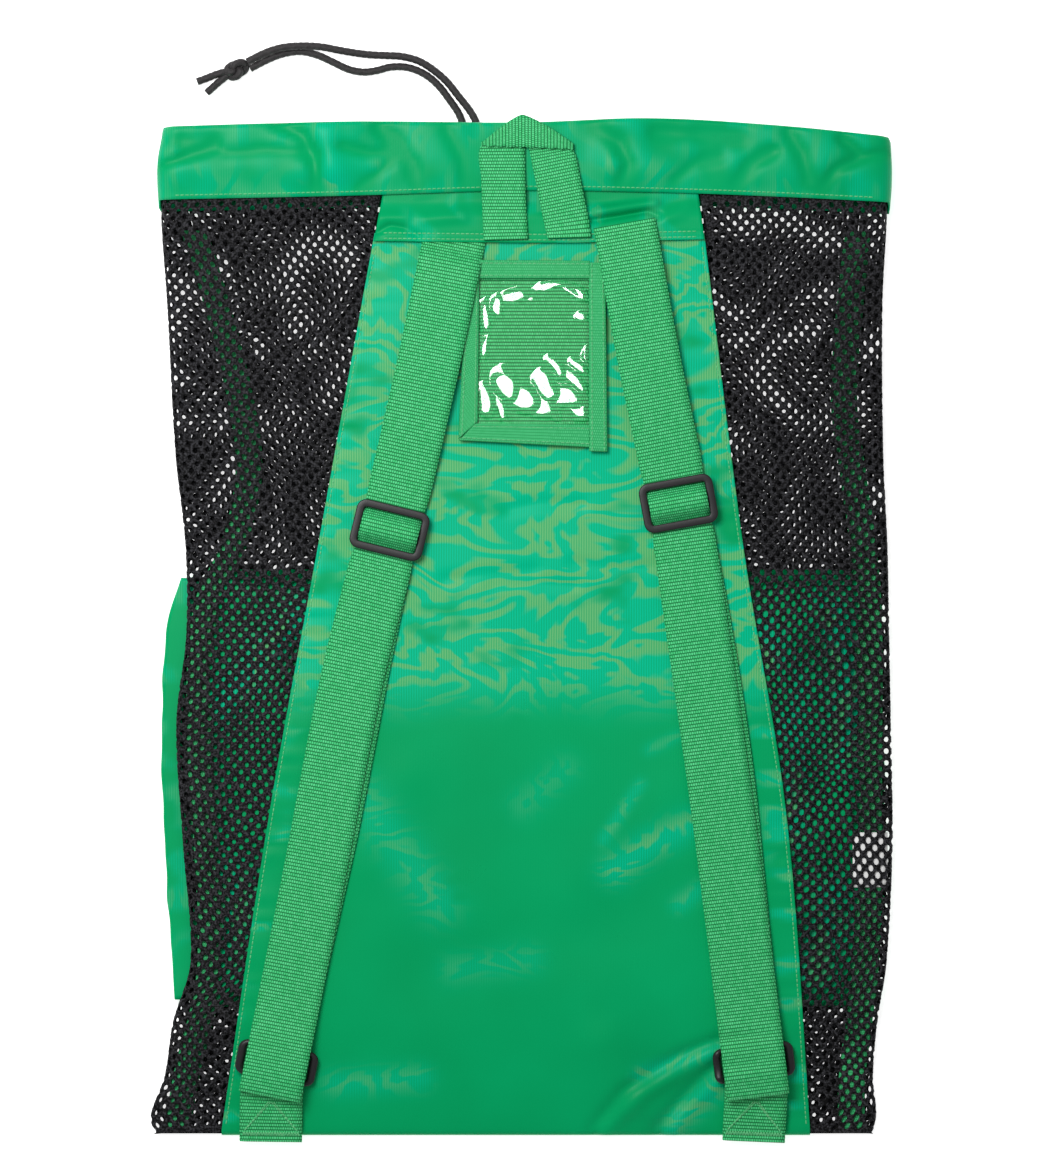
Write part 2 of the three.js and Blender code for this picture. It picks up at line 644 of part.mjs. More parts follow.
// Free ends of the drawcord, from the hem's eyelet to the knot, lying on the floor
const ON_FLOOR = CORD.radius + 0.2;
const KNOT = { x: -172.3, y: 336.8, halfLength: 9.6, halfWidth: 6.8, height: 10, lump: 0.16, turn: 0.5 };
const STRAND_A = [
  [-26.9, 301, 3.5], [-27.6, 306, 3.1], [-31.5, 313, ON_FLOOR], [-37.8, 321, ON_FLOOR],
  [-45, 330, ON_FLOOR], [-53, 337, ON_FLOOR], [-62, 342.5, ON_FLOOR], [-72, 345.2, ON_FLOOR],
  [-82, 345.8, ON_FLOOR], [-91, 346.2, 2.8], [-100, 347.2, 3.8], [-110, 348.8, 5.2],
  [-120, 350.6, 6.4], [-131, 351.2, 6.9], [-143, 350.4, 6.9], [-153, 347.6, 6.7], [-165.2, 341.7, 6.4],
];
const STRAND_B = [
  [-35.3, 301, 3.5], [-35.9, 306, 3.1], [-38.5, 312, ON_FLOOR], [-43.7, 319.5, ON_FLOOR],
  [-49, 326.5, ON_FLOOR], [-55, 332.2, ON_FLOOR], [-62, 336.4, ON_FLOOR], [-70, 338.8, ON_FLOOR],
  [-79, 338.8, ON_FLOOR], [-87, 336.8, ON_FLOOR], [-95, 335.8, ON_FLOOR], [-104, 337.4, ON_FLOOR],
  [-114, 342, ON_FLOOR], [-123, 346, ON_FLOOR], [-133, 348.2, ON_FLOOR], [-143, 347, ON_FLOOR],
  [-152, 343.8, ON_FLOOR], [-163.6, 337.9, ON_FLOOR],
];
const TAILS = [
  [[-176, 336.5, 5], [-184, 334.2, 4], [-190, 332, ON_FLOOR], [-195.5, 330, ON_FLOOR]],
  [[-176, 334.5, 4.4], [-182, 330, 3.4], [-186, 326.6, ON_FLOOR], [-189.8, 323.2, ON_FLOOR]],
];

function points(list) {
  return list.map(([x, y, z]) => new THREE.Vector3(x, y, z));
}

// The knot: a lumpy ball with the two short tails
function knot() {
  const ball = new THREE.SphereGeometry(1, 12, 8);
  const place = ball.attributes.position;
  for (let i = 0; i < place.count; i += 1) {
    const x = place.getX(i);
    const y = place.getY(i);
    const z = place.getZ(i);
    const swell = 1 - KNOT.lump * Math.cos(3 * Math.atan2(y, x)) * (1 - z * z);
    place.setXYZ(i, x * swell * KNOT.halfLength, y * swell * KNOT.halfWidth, z * KNOT.height / 2);
  }
  ball.rotateZ(KNOT.turn);
  ball.translate(KNOT.x, KNOT.y, KNOT.height / 2 + 0.1);
  let solid = toSolid(closed(ball));
  for (const tail of TAILS) solid = solid.add(toSolid(tube(points(tail), CORD.radius, CORD.sides)));
  return toGeometry(solid);
}

// The cord inside the hem: in at the eyelet, once round the mouth, out again
const CORD_IN = [[-26.9, 300.4], [-26.5, 296], [-23, 291], [-15, 288.6]];
const CORD_OUT = [[-47, 287.6], [-39, 291], [-35.7, 296], [-35.3, 300.4]];
const CORD_RUN = 25;

function hemCord() {
  const front = valueAt(HEIGHTS, 'front', HEM.level);
  const back = front + 2 * valueAt(HEIGHTS, 'curl', HEM.level);
  const round = ({ x, z }) => {
    const low = valueAt(HEM_EDGES, 'bottom', x) + HEM.flare;
    const high = valueAt(HEM_EDGES, 'top', x) - HEM.channel - NYLON;
    const y = valueAt(HEM_EDGES, 'bottom', x) + CORD_RUN;
    const wave = THREE.MathUtils.lerp(hemWave(x, low), hemWave(x, high), (y - low) / (high - low));
    return new THREE.Vector3(x, y, z + (z > back - 1 ? wave : 0));
  };
  const onFront = ([x, y]) => new THREE.Vector3(x, y, front);
  const middles = mouthStations().map((station) => station.middle).reverse();
  const enters = middles.findIndex(({ x, z }) => z <= front && x > 0);
  const leaves = middles.findIndex(({ x, z }) => z <= front && x > EYELET.x - EYELET.width);
  const way = [...middles.slice(enters), ...middles.slice(0, leaves)];
  return tube([...CORD_IN.map(onFront), ...way.map(round), ...CORD_OUT.map(onFront)], CORD.radius, CORD.sides);
}

// Grab loop: edges of the webbing in plan, up the left leg, folded over at the top, down the right leg
function grabLoop() {
  const lower = 21.9;
  const upper = lower + LOOP_WEBBING.thickness + 0.8;
  const bulge = 1.1;
  const peakLeft = [0.8, 308.2];
  const peakRight = [4.2, 308.0];
  const cornerLeft = [-24.4, 290.5];
  const cornerRight = [32.8, 286.8];
  const edges = [
    { left: [-22.6, 233.5], right: [3.8, 234.5], z: lower + 0.6 },
    { left: [-23.4, 252], right: [2.8, 252], z: lower },
    { left: [-24.0, 270], right: [2.2, 270], z: lower },
    { left: [-24.3, 284], right: [1.8, 292], z: lower },
    { left: cornerLeft, right: peakLeft, z: lower },
    { left: cornerLeft, right: peakLeft, z: (lower + upper) / 2, push: [-0.65, 0.75] },
    { left: cornerLeft, right: peakLeft, z: upper },
    { left: [4, 288.6], right: [2.5, 308.1], z: upper + 0.2 },
    { left: cornerRight, right: peakRight, z: upper },
    { left: cornerRight, right: peakRight, z: (lower + upper) / 2, push: [0.65, 0.75] },
    { left: cornerRight, right: peakRight, z: lower },
    { left: [33.6, 281], right: [6.6, 292], z: lower },
    { left: [36, 267], right: [10.4, 265], z: lower },
    { left: [38.6, 254], right: [13, 249], z: lower },
    { left: [41.2, 241.5], right: [15.8, 236.5], z: lower + 0.8 },
  ];
  const rows = edges.map(({ left, right, z, push = [0, 0] }) => [left, right].map(([x, y]) => (
    new THREE.Vector3(x + bulge * push[0], y + bulge * push[1], z)
  )));
  return sheet(rows, LOOP_WEBBING.thickness);
}

// A flat patch on the back panel, bounded by two edges in plan
function patch(leftEdge, rightEdge, above, thickness, across, along) {
  const rows = range(0, 1, along).map((t) => {
    const from = new THREE.Vector2(...leftEdge[0]).lerp(new THREE.Vector2(...leftEdge[1]), t);
    const to = new THREE.Vector2(...rightEdge[0]).lerp(new THREE.Vector2(...rightEdge[1]), t);
    return range(0, 1, across).map((s) => {
      const spot = from.clone().lerp(to, s);
      return onBack(spot.x, spot.y, above);
    });
  });
  return sheet(rows, thickness);
}

// Card window: ribbed backing, clear vinyl, four bound edges
function cardWindow() {
  const backing = { thickness: 1.4 };
  const vinyl = { thickness: 0.8 };
  const tape = { thickness: 1.2 };
  backing.above = NYLON / 2 + LAP_GAP + backing.thickness / 2;
  vinyl.above = backing.above + backing.thickness / 2 + GAP + vinyl.thickness / 2;
  tape.above = vinyl.above + vinyl.thickness / 2 + GAP + tape.thickness / 2;
  piece('id_backing', patch([[-31, 119], [-29, 214]], [[44, 119], [44, 214]],
    backing.above, backing.thickness, 3, 4), WEBBING_GREEN);
  piece('id_window', patch([[-30, 120], [-28, 213]], [[43, 120], [43, 213]],
    vinyl.above, vinyl.thickness, 3, 4), CLEAR_VINYL);
  const tapes = [
    { name: 'id_tape_top', left: [[-24, 210.6], [-23.4, 221.6]], right: [[40.2, 210.6], [40.2, 221]] },
    { name: 'id_tape_right', left: [[40.6, 106.8], [40.6, 220]], right: [[51.4, 106.4], [50.2, 220]] },
    { name: 'id_tape_bottom', left: [[-37.4, 112.6], [-36.6, 123.2]], right: [[40.2, 109.2], [40.2, 122.8]] },
    { name: 'id_tape_left', left: [[-36.6, 123.6], [-32, 208]], right: [[-26.2, 123.6], [-25.4, 208]] },
  ];
  for (const { name, left, right } of tapes) {
    const upright = name === 'id_tape_left' || name === 'id_tape_right';
    const geometry = patch(left, right, tape.above, tape.thickness, upright ? 1 : 3, upright ? 4 : 1);
    piece(name, geometry, WEBBING_GREEN);
  }
}

// One strap with its slider, ring and tab, all placed along the strap's centre line
function shoulderStrap({ side, line, sliderAt, backShift }) {
  const route = new THREE.CatmullRomCurve3(line.map(([x, y]) => new THREE.Vector3(x, y, 0)));
  const length = route.getLength();
  const end = route.getPointAt(1);
  const endWay = route.getTangentAt(1);
  const spotAt = (along) => {
    if (along > length) return { middle: end.clone().addScaledVector(endWay, along - length), way: endWay };
    const share = along / length;
    return { middle: route.getPointAt(share), way: route.getTangentAt(share) };
  };
  let sliderAlong = 0;
  while (spotAt(sliderAlong).middle.y > sliderAt[1]) sliderAlong += 0.25;
  const marks = { yoke: 0, slider: sliderAlong, ring: length };

  const placed = (along, across, above, shift = 0) => {
    const { middle, way } = spotAt(along);
    const x = middle.x - way.y * across + shift;
    const y = middle.y + way.x * across;
    return onBack(x, y, above);
  };
  const half = STRAP.width / 2;
  const wayRows = STRAP_WAY.map(({ mark, along, above, shift = 0 }) => (
    [-half, half].map((across) => placed(marks[mark] + along, across, above, shift * backShift))
  ));
  piece(`strap_${side}`, sheet(wayRows, STRAP.thickness), WEBBING_GREEN);

  const tabRows = TAB_WAY.map(({ along, above }) => (
    [-half, half].map((across) => placed(length + along, across, above))
  ));
  piece(`tab_${side}`, sheet(tabRows, STRAP.thickness), WEBBING_GREEN);

  const slider = piece(`slider_${side}`, sliderFrame(), PLASTIC_BLACK);
  const { middle, way } = spotAt(sliderAlong);
  slider.position.copy(onBack(middle.x, middle.y, SLIDER.above));
  slider.rotation.z = Math.atan2(way.y, way.x) + Math.PI / 2;

  const stations = ringPath().map(({ x, y, out }) => {
    const point = placed(length + RING.fromFold - y, x, RING.above);
    const beside = placed(length + RING.fromFold - y - out.y, x + out.x, RING.above);
    return { middle: point, out: beside.sub(point).normalize(), up: new THREE.Vector3(0, 0, 1) };
  });
  const section = circle(RING.bar / 2, 6).map((point) => [point.x, point.y]);
  piece(`ring_${side}`, loop(stations, section), PLASTIC_BLACK);
}

// Middle line of a ring: a rectangle with round corners, and the outward direction at each station
function ringPath() {
  const halfX = (RING.width - RING.bar) / 2 - RING.corner;
  const halfY = (RING.length - RING.bar) / 2 - RING.corner;
  const stations = [];
  for (const [signX, signY, start] of [[1, 1, 0], [-1, 1, 1], [-1, -1, 2], [1, -1, 3]]) {
    for (const turn of [0, 0.5, 1]) {
      const angle = Math.PI / 2 * (start + turn);
      const out = new THREE.Vector2(Math.cos(angle), Math.sin(angle));
      stations.push({ x: signX * halfX + RING.corner * out.x, y: signY * halfY + RING.corner * out.y, out });
    }
  }
  return stations;
}

function roundedRectangle(path, centreY, width, length, corner) {
  const x = width / 2;
  const y = length / 2;
  path.moveTo(x, centreY - y + corner);
  path.lineTo(x, centreY + y - corner);
  path.absarc(x - corner, centreY + y - corner, corner, 0, Math.PI / 2);
  path.absarc(-x + corner, centreY + y - corner, corner, Math.PI / 2, Math.PI);
  path.absarc(-x + corner, centreY - y + corner, corner, Math.PI, 1.5 * Math.PI);
  path.absarc(x - corner, centreY - y + corner, corner, 1.5 * Math.PI, 2 * Math.PI);
  return path;
}

// Three-bar slider: a rounded frame with two slots
function sliderFrame() {
  const shape = roundedRectangle(new THREE.Shape(), 0, SLIDER.width, SLIDER.length, SLIDER.corner);
  const slotLength = (SLIDER.length - 2 * SLIDER.bar - SLIDER.middleBar) / 2;
  const slotWidth = SLIDER.width - 2 * SLIDER.side;
  for (const sign of [-1, 1]) {
    const centreY = sign * (SLIDER.middleBar + slotLength) / 2;
    shape.holes.push(roundedRectangle(new THREE.Path(), centreY, slotWidth, slotLength, SLIDER.slotCorner));
  }
  const options = { depth: SLIDER.thickness, bevelEnabled: false, curveSegments: 2 };
  return closed(new THREE.ExtrudeGeometry(shape, options));
}

// White label, blank, over the right seam tape
function blankLabel() {
  const above = NET / 2 + LAP_GAP + TAPE.thickness + GAP + LABEL.thickness / 2;
  const right = valueAt(OUTLINE, 'right', LABEL.y) - LABEL.fromFold;
  const box = new THREE.BoxGeometry(LABEL.width, LABEL.length, LABEL.thickness);
  box.translate(right - LABEL.width / 2, LABEL.y, valueAt(HEIGHTS, 'front', LABEL.y) + above);
  return closed(box);
}

piece('back_panel', backPanel(), NYLON_GREEN);
piece('yoke', yoke(), NYLON_GREEN);
for (const side of ['left', 'right']) {
  piece(`side_mesh_${side}`, sideNet(side), NET_BLACK);
  piece(`seam_tape_${side}`, seamTape(side), WEBBING_GREEN);
}
piece('front_mesh_upper', frontNet(POCKET.top + GAP, NET_TOP), NET_BLACK);
piece('front_mesh_lower', frontNet(BOTTOM.net, POCKET.bottom - GAP), NET_BLACK);
piece('front_panel', frontStretch(POCKET.bottom, POCKET.top, NYLON), NYLON_GREEN);
piece('pocket_face', pocketFace(), NYLON_GREEN);
piece('drawcord_hem', hemSleeve(), NYLON_GREEN);
piece('drawcord_loop', hemCord(), CORD_BLACK);
piece('drawcord_strand_a', tube(points(STRAND_A), CORD.radius, CORD.sides), CORD_BLACK);
piece('drawcord_strand_b', tube(points(STRAND_B), CORD.radius, CORD.sides), CORD_BLACK);
piece('drawcord_knot', knot(), CORD_BLACK);
piece('grab_loop', grabLoop(), WEBBING_GREEN);
cardWindow();
STRAPS.forEach(shoulderStrap);
piece('blank_label', blankLabel(), LABEL_WHITE);

export default bag;
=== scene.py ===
# Mesh equipment backpack, empty, lying on its front with the straps up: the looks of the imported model
import math

import bmesh
import bpy
from mathutils import Matrix, Vector, noise


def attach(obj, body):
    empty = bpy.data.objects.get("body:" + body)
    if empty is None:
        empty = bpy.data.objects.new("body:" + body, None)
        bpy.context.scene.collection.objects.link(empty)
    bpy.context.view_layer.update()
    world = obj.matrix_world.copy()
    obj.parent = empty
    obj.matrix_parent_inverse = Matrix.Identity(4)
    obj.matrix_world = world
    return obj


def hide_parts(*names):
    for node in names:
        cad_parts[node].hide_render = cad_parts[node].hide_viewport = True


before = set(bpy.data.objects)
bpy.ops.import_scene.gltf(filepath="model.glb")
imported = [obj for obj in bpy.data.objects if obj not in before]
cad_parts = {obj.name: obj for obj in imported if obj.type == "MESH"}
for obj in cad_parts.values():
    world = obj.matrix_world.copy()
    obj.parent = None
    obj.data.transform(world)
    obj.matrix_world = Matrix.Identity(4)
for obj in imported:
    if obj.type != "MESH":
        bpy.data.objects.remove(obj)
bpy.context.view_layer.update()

# Lengths below are in millimetres and become metres when a piece is finished
MM = 0.001

# Camera straight above the bag, with the frame of the photograph
PHOTO_WIDE = 1044
PHOTO_HIGH = 1176
MM_PER_PIXEL = 0.6
ORIGIN_PIXEL_X = 521.5
ORIGIN_PIXEL_Y = 629.5
CAMERA_ABOVE = 4000.0
BACK_LEVEL = 20.0
SENSOR_HIGH = 24.0


def add_camera():
    data = bpy.data.cameras.new("photo_camera")
    data.sensor_fit = "VERTICAL"
    data.sensor_height = SENSOR_HIGH
    data.lens = SENSOR_HIGH * CAMERA_ABOVE / (PHOTO_HIGH * MM_PER_PIXEL)
    camera = bpy.data.objects.new("photo_camera", data)
    x = (PHOTO_WIDE / 2 - ORIGIN_PIXEL_X) * MM_PER_PIXEL
    y = (ORIGIN_PIXEL_Y - PHOTO_HIGH / 2) * MM_PER_PIXEL
    camera.location = (x * MM, y * MM, (BACK_LEVEL + CAMERA_ABOVE) * MM)
    bpy.context.scene.collection.objects.link(camera)
    bpy.context.scene.camera = camera


add_camera()

# Sizes of the bag, most of them the solids' own
NYLON = 1.0
NET = 1.2
TAPE_WIDE = 16.0
STRAP_WIDE = 37.4
STRAP_THICK = 1.6
CORD_RADIUS = 2.2
HEM_LEFT = -219.3
HEM_RIGHT = 222.8
HEM_LEVEL = 264.0
HEM_WALL = 3.5
HEM_FRONT_DROP = 3.0
PANEL_TOP = 238.0
PANEL_FOLD = -301.4
PANEL_HEM = -284.0
NET_TOP = 262.0
NET_BOTTOM = -303.6
LAP_GAP = 0.5
LAP_FADE = 14.0
SEAM_GAP = 0.25
CROWN_POWER = 5
POCKET_TOP = 33.0
POCKET_BOTTOM = -224.0

# The back's folds fade out between these levels, at its lower and at its upper end
FOLDS_LOW = (PANEL_FOLD - 2.6, PANEL_FOLD + 16.4)
FOLDS_HIGH = (PANEL_TOP - 23, PANEL_TOP + 2)

# Side folds of the net, by Y
OUTLINE = [
    dict(at=-304, left=-221.5, right=211.5),
    dict(at=-292, left=-223.5, right=214.0),
    dict(at=-270, left=-215.5, right=212.0),
    dict(at=-236, left=-210.0, right=214.5),
    dict(at=-200, left=-199.5, right=220.0),
    dict(at=-129, left=-204.0, right=223.5),
    dict(at=-57, left=-208.0, right=222.5),
    dict(at=-3, left=-202.0, right=221.5),
    dict(at=50, left=-202.5, right=220.5),
    dict(at=105, left=-208.5, right=218.0),
    dict(at=195, left=-213.5, right=217.5),
    dict(at=246, left=-217.0, right=220.0),
    dict(at=258, left=-216.4, right=219.9),
    dict(at=264, left=-216.4, right=219.9),
]

# Edges of the back panel, by Y
PANEL_EDGES = [
    dict(at=-304, left=-181.0, right=174.0),
    dict(at=-111, left=-151.5, right=159.0),
    dict(at=51, left=-122.0, right=133.0),
    dict(at=264, left=-83.6, right=106.5),
]

# Long seams of the front, by Y
FRONT_SEAMS = [
    dict(at=-304, left=-208.0, right=199.0),
    dict(at=-270, left=-202.0, right=199.0),
    dict(at=-200, left=-187.0, right=207.0),
    dict(at=-57, left=-193.5, right=209.0),
    dict(at=15, left=-189.0, right=208.5),
    dict(at=54, left=-172.0, right=205.0),
    dict(at=96, left=-164.0, right=199.0),
    dict(at=138, left=-169.0, right=194.0),
    dict(at=198, left=-184.0, right=198.0),
    dict(at=250, left=-200.0, right=204.0),
    dict(at=264, left=-202.0, right=205.0),
]

# Heights by Y: the front layer, the curl radius of the side folds, the crown of the back layer
HEIGHTS = [
    dict(at=-304, front=1.9, curl=1.2, crown=5.7),
    dict(at=-292, front=1.9, curl=1.6, crown=8.4),
    dict(at=-270, front=2.8, curl=1.9, crown=12.0),
    dict(at=-236, front=5.6, curl=2.2, crown=16.0),
    dict(at=-190, front=6.6, curl=2.2, crown=18.5),
    dict(at=-120, front=7.0, curl=2.2, crown=20.0),
    dict(at=120, front=7.0, curl=2.2, crown=20.0),
    dict(at=190, front=5.4, curl=3.2, crown=18.6),
    dict(at=246, front=3.5, curl=6.5, crown=16.5),
    dict(at=264, front=3.5, curl=6.5, crown=16.5),
]

# Soft ridges and dents of the back layer, each along a line
BACK_FOLDS = [
    dict(points=[(50, -250), (78, -300)], height=2.6, width=15),
    dict(points=[(78, -262), (108, -296)], height=-1.8, width=13),
    dict(points=[(-205, -282), (-184, -236)], height=1.6, width=14),
    dict(points=[(-190, 40), (-152, 96)], height=-1.6, width=18),
    dict(points=[(196, -262), (190, -180)], height=-1.4, width=16),
    dict(points=[(-60, -210), (60, -170)], height=-1.5, width=30),
    dict(points=[(-20, 20), (30, -90)], height=1.2, width=34),
]

# Top and bottom edges of the hem, by X
HEM_EDGES = [
    dict(at=-218, top=302.0, bottom=258.0),
    dict(at=-100, top=305.0, bottom=260.5),
    dict(at=0, top=304.5, bottom=263.5),
    dict(at=78, top=307.0, bottom=262.5),
    dict(at=150, top=303.0, bottom=260.0),
    dict(at=221, top=296.0, bottom=256.5),
]

# Side folds of the pocket, by Y
POCKET_EDGES = [
    dict(at=-224, left=-209.0, right=214.0),
    dict(at=-147, left=-214.0, right=219.0),
    dict(at=-75, left=-217.0, right=218.5),
    dict(at=-3, left=-214.5, right=217.0),
    dict(at=15, left=-210.5, right=216.5),
    dict(at=33, left=-204.5, right=214.0),
]

# Lower edge of the yoke, by X
YOKE_EDGE = [
    dict(at=-84, edge=233),
    dict(at=25, edge=232),
    dict(at=62, edge=233),
    dict(at=107, edge=234),
]

# Small creases of the panel and the hem, which only the cloth has
PANEL_CREASES = [
    dict(points=[(44, -301), (62, -277), (95, -256), (120, -246)], height=-2.8, width=3.8),
    dict(points=[(50, -301), (73, -279), (114, -254)], height=2.9, width=4.6),
    dict(points=[(82, -301), (99, -281), (117, -263)], height=-3.2, width=3.8),
    dict(points=[(90, -301), (104, -284), (119, -269)], height=2.9, width=4.0),
    dict(points=[(-80, 212), (-62, 190), (-58, 160)], height=0.8, width=7.0),
    dict(points=[(60, 206), (96, 224)], height=0.7, width=6.0),
    dict(points=[(100, 128), (128, 60)], height=-0.7, width=8.0),
    dict(points=[(-120, -60), (-60, -160), (40, -220)], height=0.9, width=26.0),
    dict(points=[(90, -100), (30, -160)], height=1.0, width=20.0),
    dict(points=[(-70, -90), (-96, -140)], height=1.0, width=16.0),
    dict(points=[(-8, 72), (10, 76), (36, 75)], height=-1.5, width=3.8),
    dict(points=[(-46, 30), (-20, 33), (8, 36)], height=-1.5, width=3.6),
    dict(points=[(-18, 27), (8, 28), (32, 26)], height=-1.3, width=3.2),
    dict(points=[(31, 40), (54, 37), (78, 38)], height=-1.2, width=3.2),
    dict(points=[(-62, 96), (-44, 104), (-30, 103)], height=-1.0, width=6.0),
]
HEM_CREASES = [
    dict(points=[(-212, 280), (-198, 285), (-184, 289)], height=-2.8, width=3.6),
    dict(points=[(-206, 293), (-184, 294)], height=-1.5, width=5.0),
    dict(points=[(-176, 286), (-150, 288), (-128, 286)], height=-1.5, width=4.0),
    dict(points=[(-146, 303), (-131, 296), (-124, 284), (-123, 266)], height=-3.3, width=4.4),
    dict(points=[(-118, 296), (-112, 270)], height=1.8, width=8.0),
    dict(points=[(-108, 290), (-92, 286), (-74, 286)], height=-2.0, width=4.0),
    dict(points=[(-86, 302), (-74, 292), (-66, 280), (-63, 266)], height=-3.0, width=4.6),
    dict(points=[(-98, 264), (-88, 272), (-80, 280)], height=-2.1, width=3.4),
    dict(points=[(-44, 300), (-36, 284), (-34, 270)], height=-2.2, width=4.6),
    dict(points=[(44, 300), (58, 292), (64, 280), (60, 268)], height=-2.8, width=5.0),
    dict(points=[(80, 298), (104, 297), (130, 294)], height=-2.5, width=6.0),
    dict(points=[(92, 270), (104, 280), (120, 284)], height=-2.0, width=4.4),
    dict(points=[(130, 266), (138, 280), (151, 287)], height=-3.2, width=4.4),
    dict(points=[(181, 264), (188, 276), (200, 281)], height=-2.8, width=4.0),
    dict(points=[(192, 294), (206, 284), (217, 286)], height=-2.7, width=3.6),
    dict(points=[(160, 298), (168, 286), (172, 270)], height=-2.2, width=4.6),
]


def smoothstep(value, low, high):
    t = min(max((value - low) / (high - low), 0.0), 1.0)
    return t * t * (3.0 - 2.0 * t)


def mix(a, b, t):
    return a + (b - a) * t


# A column's value at a place in a table, on a smooth curve through its rows
def value_at(table, column, place):
    last = len(table) - 1
    inside = min(max(place, table[0]["at"]), table[last]["at"])
    row = 0
    while row < last - 1 and table[row + 1]["at"] < inside:
        row += 1
    a = table[row]
    b = table[row + 1]
    before = table[max(row - 1, 0)]
    after = table[min(row + 2, last)]
    span = b["at"] - a["at"]
    slope_a = span * (b[column] - before[column]) / (b["at"] - before["at"])
    slope_b = span * (after[column] - a[column]) / (after["at"] - a["at"])
    t = (inside - a["at"]) / span
    t2 = t * t
    t3 = t2 * t
    return ((2 * t3 - 3 * t2 + 1) * a[column] + (t3 - 2 * t2 + t) * slope_a
            + (3 * t2 - 2 * t3) * b[column] + (t3 - t2) * slope_b)


# The square of the distance from a line to a place, and the way there
def away_from(points, x, y):
    nearest = (math.inf, 0.0, 0.0)
    for (from_x, from_y), (to_x, to_y) in zip(points, points[1:]):
        run_x = to_x - from_x
        run_y = to_y - from_y
        along = ((x - from_x) * run_x + (y - from_y) * run_y) / (run_x * run_x + run_y * run_y)
        t = min(max(along, 0.0), 1.0)
        away_x = x - from_x - t * run_x
        away_y = y - from_y - t * run_y
        nearest = min(nearest, (away_x * away_x + away_y * away_y, away_x, away_y))
    return nearest


# Height that a fold adds at a point, fading away from its line
def fold_height(fold, x, y):
    return fold["height"] * math.exp(-away_from(fold["points"], x, y)[0] / fold["width"] ** 2)


def ripple(x, y, pitch, seed):
    return noise.noise(Vector((x / pitch, y / pitch, seed)))


# How far the net lies below the panel where it laps under it; nothing inside the hem
def lap_drop(y):
    full = NYLON / 2 + LAP_GAP + NET / 2
    return full * (1 - smoothstep(y, PANEL_TOP, PANEL_TOP + LAP_FADE))


# Middle of the back layer at a point: flat over the crown, falling to the side folds
def back_height(x, y):
    curl = value_at(HEIGHTS, "curl", y)
    left = value_at(OUTLINE, "left", y) + NET / 2 + curl
    right = value_at(OUTLINE, "right", y) - NET / 2 - curl
    off_centre = min(abs(2 * x - left - right) / (right - left), 1.0)
    edge = value_at(HEIGHTS, "front", y) + 2 * curl + lap_drop(y)
    crown = value_at(HEIGHTS, "crown", y)
    flat = 1 - off_centre ** CROWN_POWER
    fade_low = smoothstep(y, *FOLDS_LOW)
    fade_high = 1 - smoothstep(y, *FOLDS_HIGH)
    folds = 0.0
    if fade_low * fade_high > 0:
        folds = sum(fold_height(fold, x, y) for fold in BACK_FOLDS)
    return edge + (crown - edge) * flat + folds * fade_low * fade_high * min(flat * 2, 1.0)


# Colours are sRGB hex values, turned to the linear values that shaders take
def linear(colour):
    value = int(colour.lstrip("#"), 16)
    channels = []
    for shift in (16, 8, 0):
        share = (value >> shift & 255) / 255
        channels.append(share / 12.92 if share <= 0.04045 else ((share + 0.055) / 1.055) ** 2.4)
    return (*channels, 1.0)


# Adds a node with its settings, and sets or links its inputs. Inputs 0, 6 and 7 of a colour Mix node
# are the share and the two colours, and its output 2 is the mixed colour.
def add_node(tree, kind, settings, inputs):
    node = tree.nodes.new(kind)
    for name, value in settings.items():
        setattr(node, name, value)
    for name, value in inputs.items():
        if isinstance(value, bpy.types.NodeSocket):
            tree.links.new(value, node.inputs[name])
        else:
            node.inputs[name].default_value = value
    return node


def new_material(name):
    material = bpy.data.materials.new(name)
    material.use_nodes = True
    material.node_tree.nodes.clear()
    return material


# Blender's wave texture turns through so many radians in one unit
WAVE_TURN = 20


# Noise lumps and wave bands per metre for a pitch in millimetres
def lumps(pitch):
    return 1 / (pitch * MM)


def bands(pitch):
    return 2 * math.pi / (WAVE_TURN * pitch * MM)


# Nylon taffeta, woven and calendered: smooth satin, fine upright threads, and a watered pattern of
# teal and tan bands where the cloth lies loose, as strong as the piece's own attribute says. Where
# that attribute rises on ridges and lit patches, the lighter teal is painted sheen, and where it falls
# in creases, the plain dye is painted shade. The threads, 0.3 mm apart, are drawn 1.5 mm apart so
# that they show. The drift bends the bands, by so many radians for a band 1 mm wide.
THREAD_PITCH = 1.5
DRIFT_PITCH = 39
DRIFT_BEND = 400.0
LOOSE_PITCH = 30
DYE_PITCH = 80


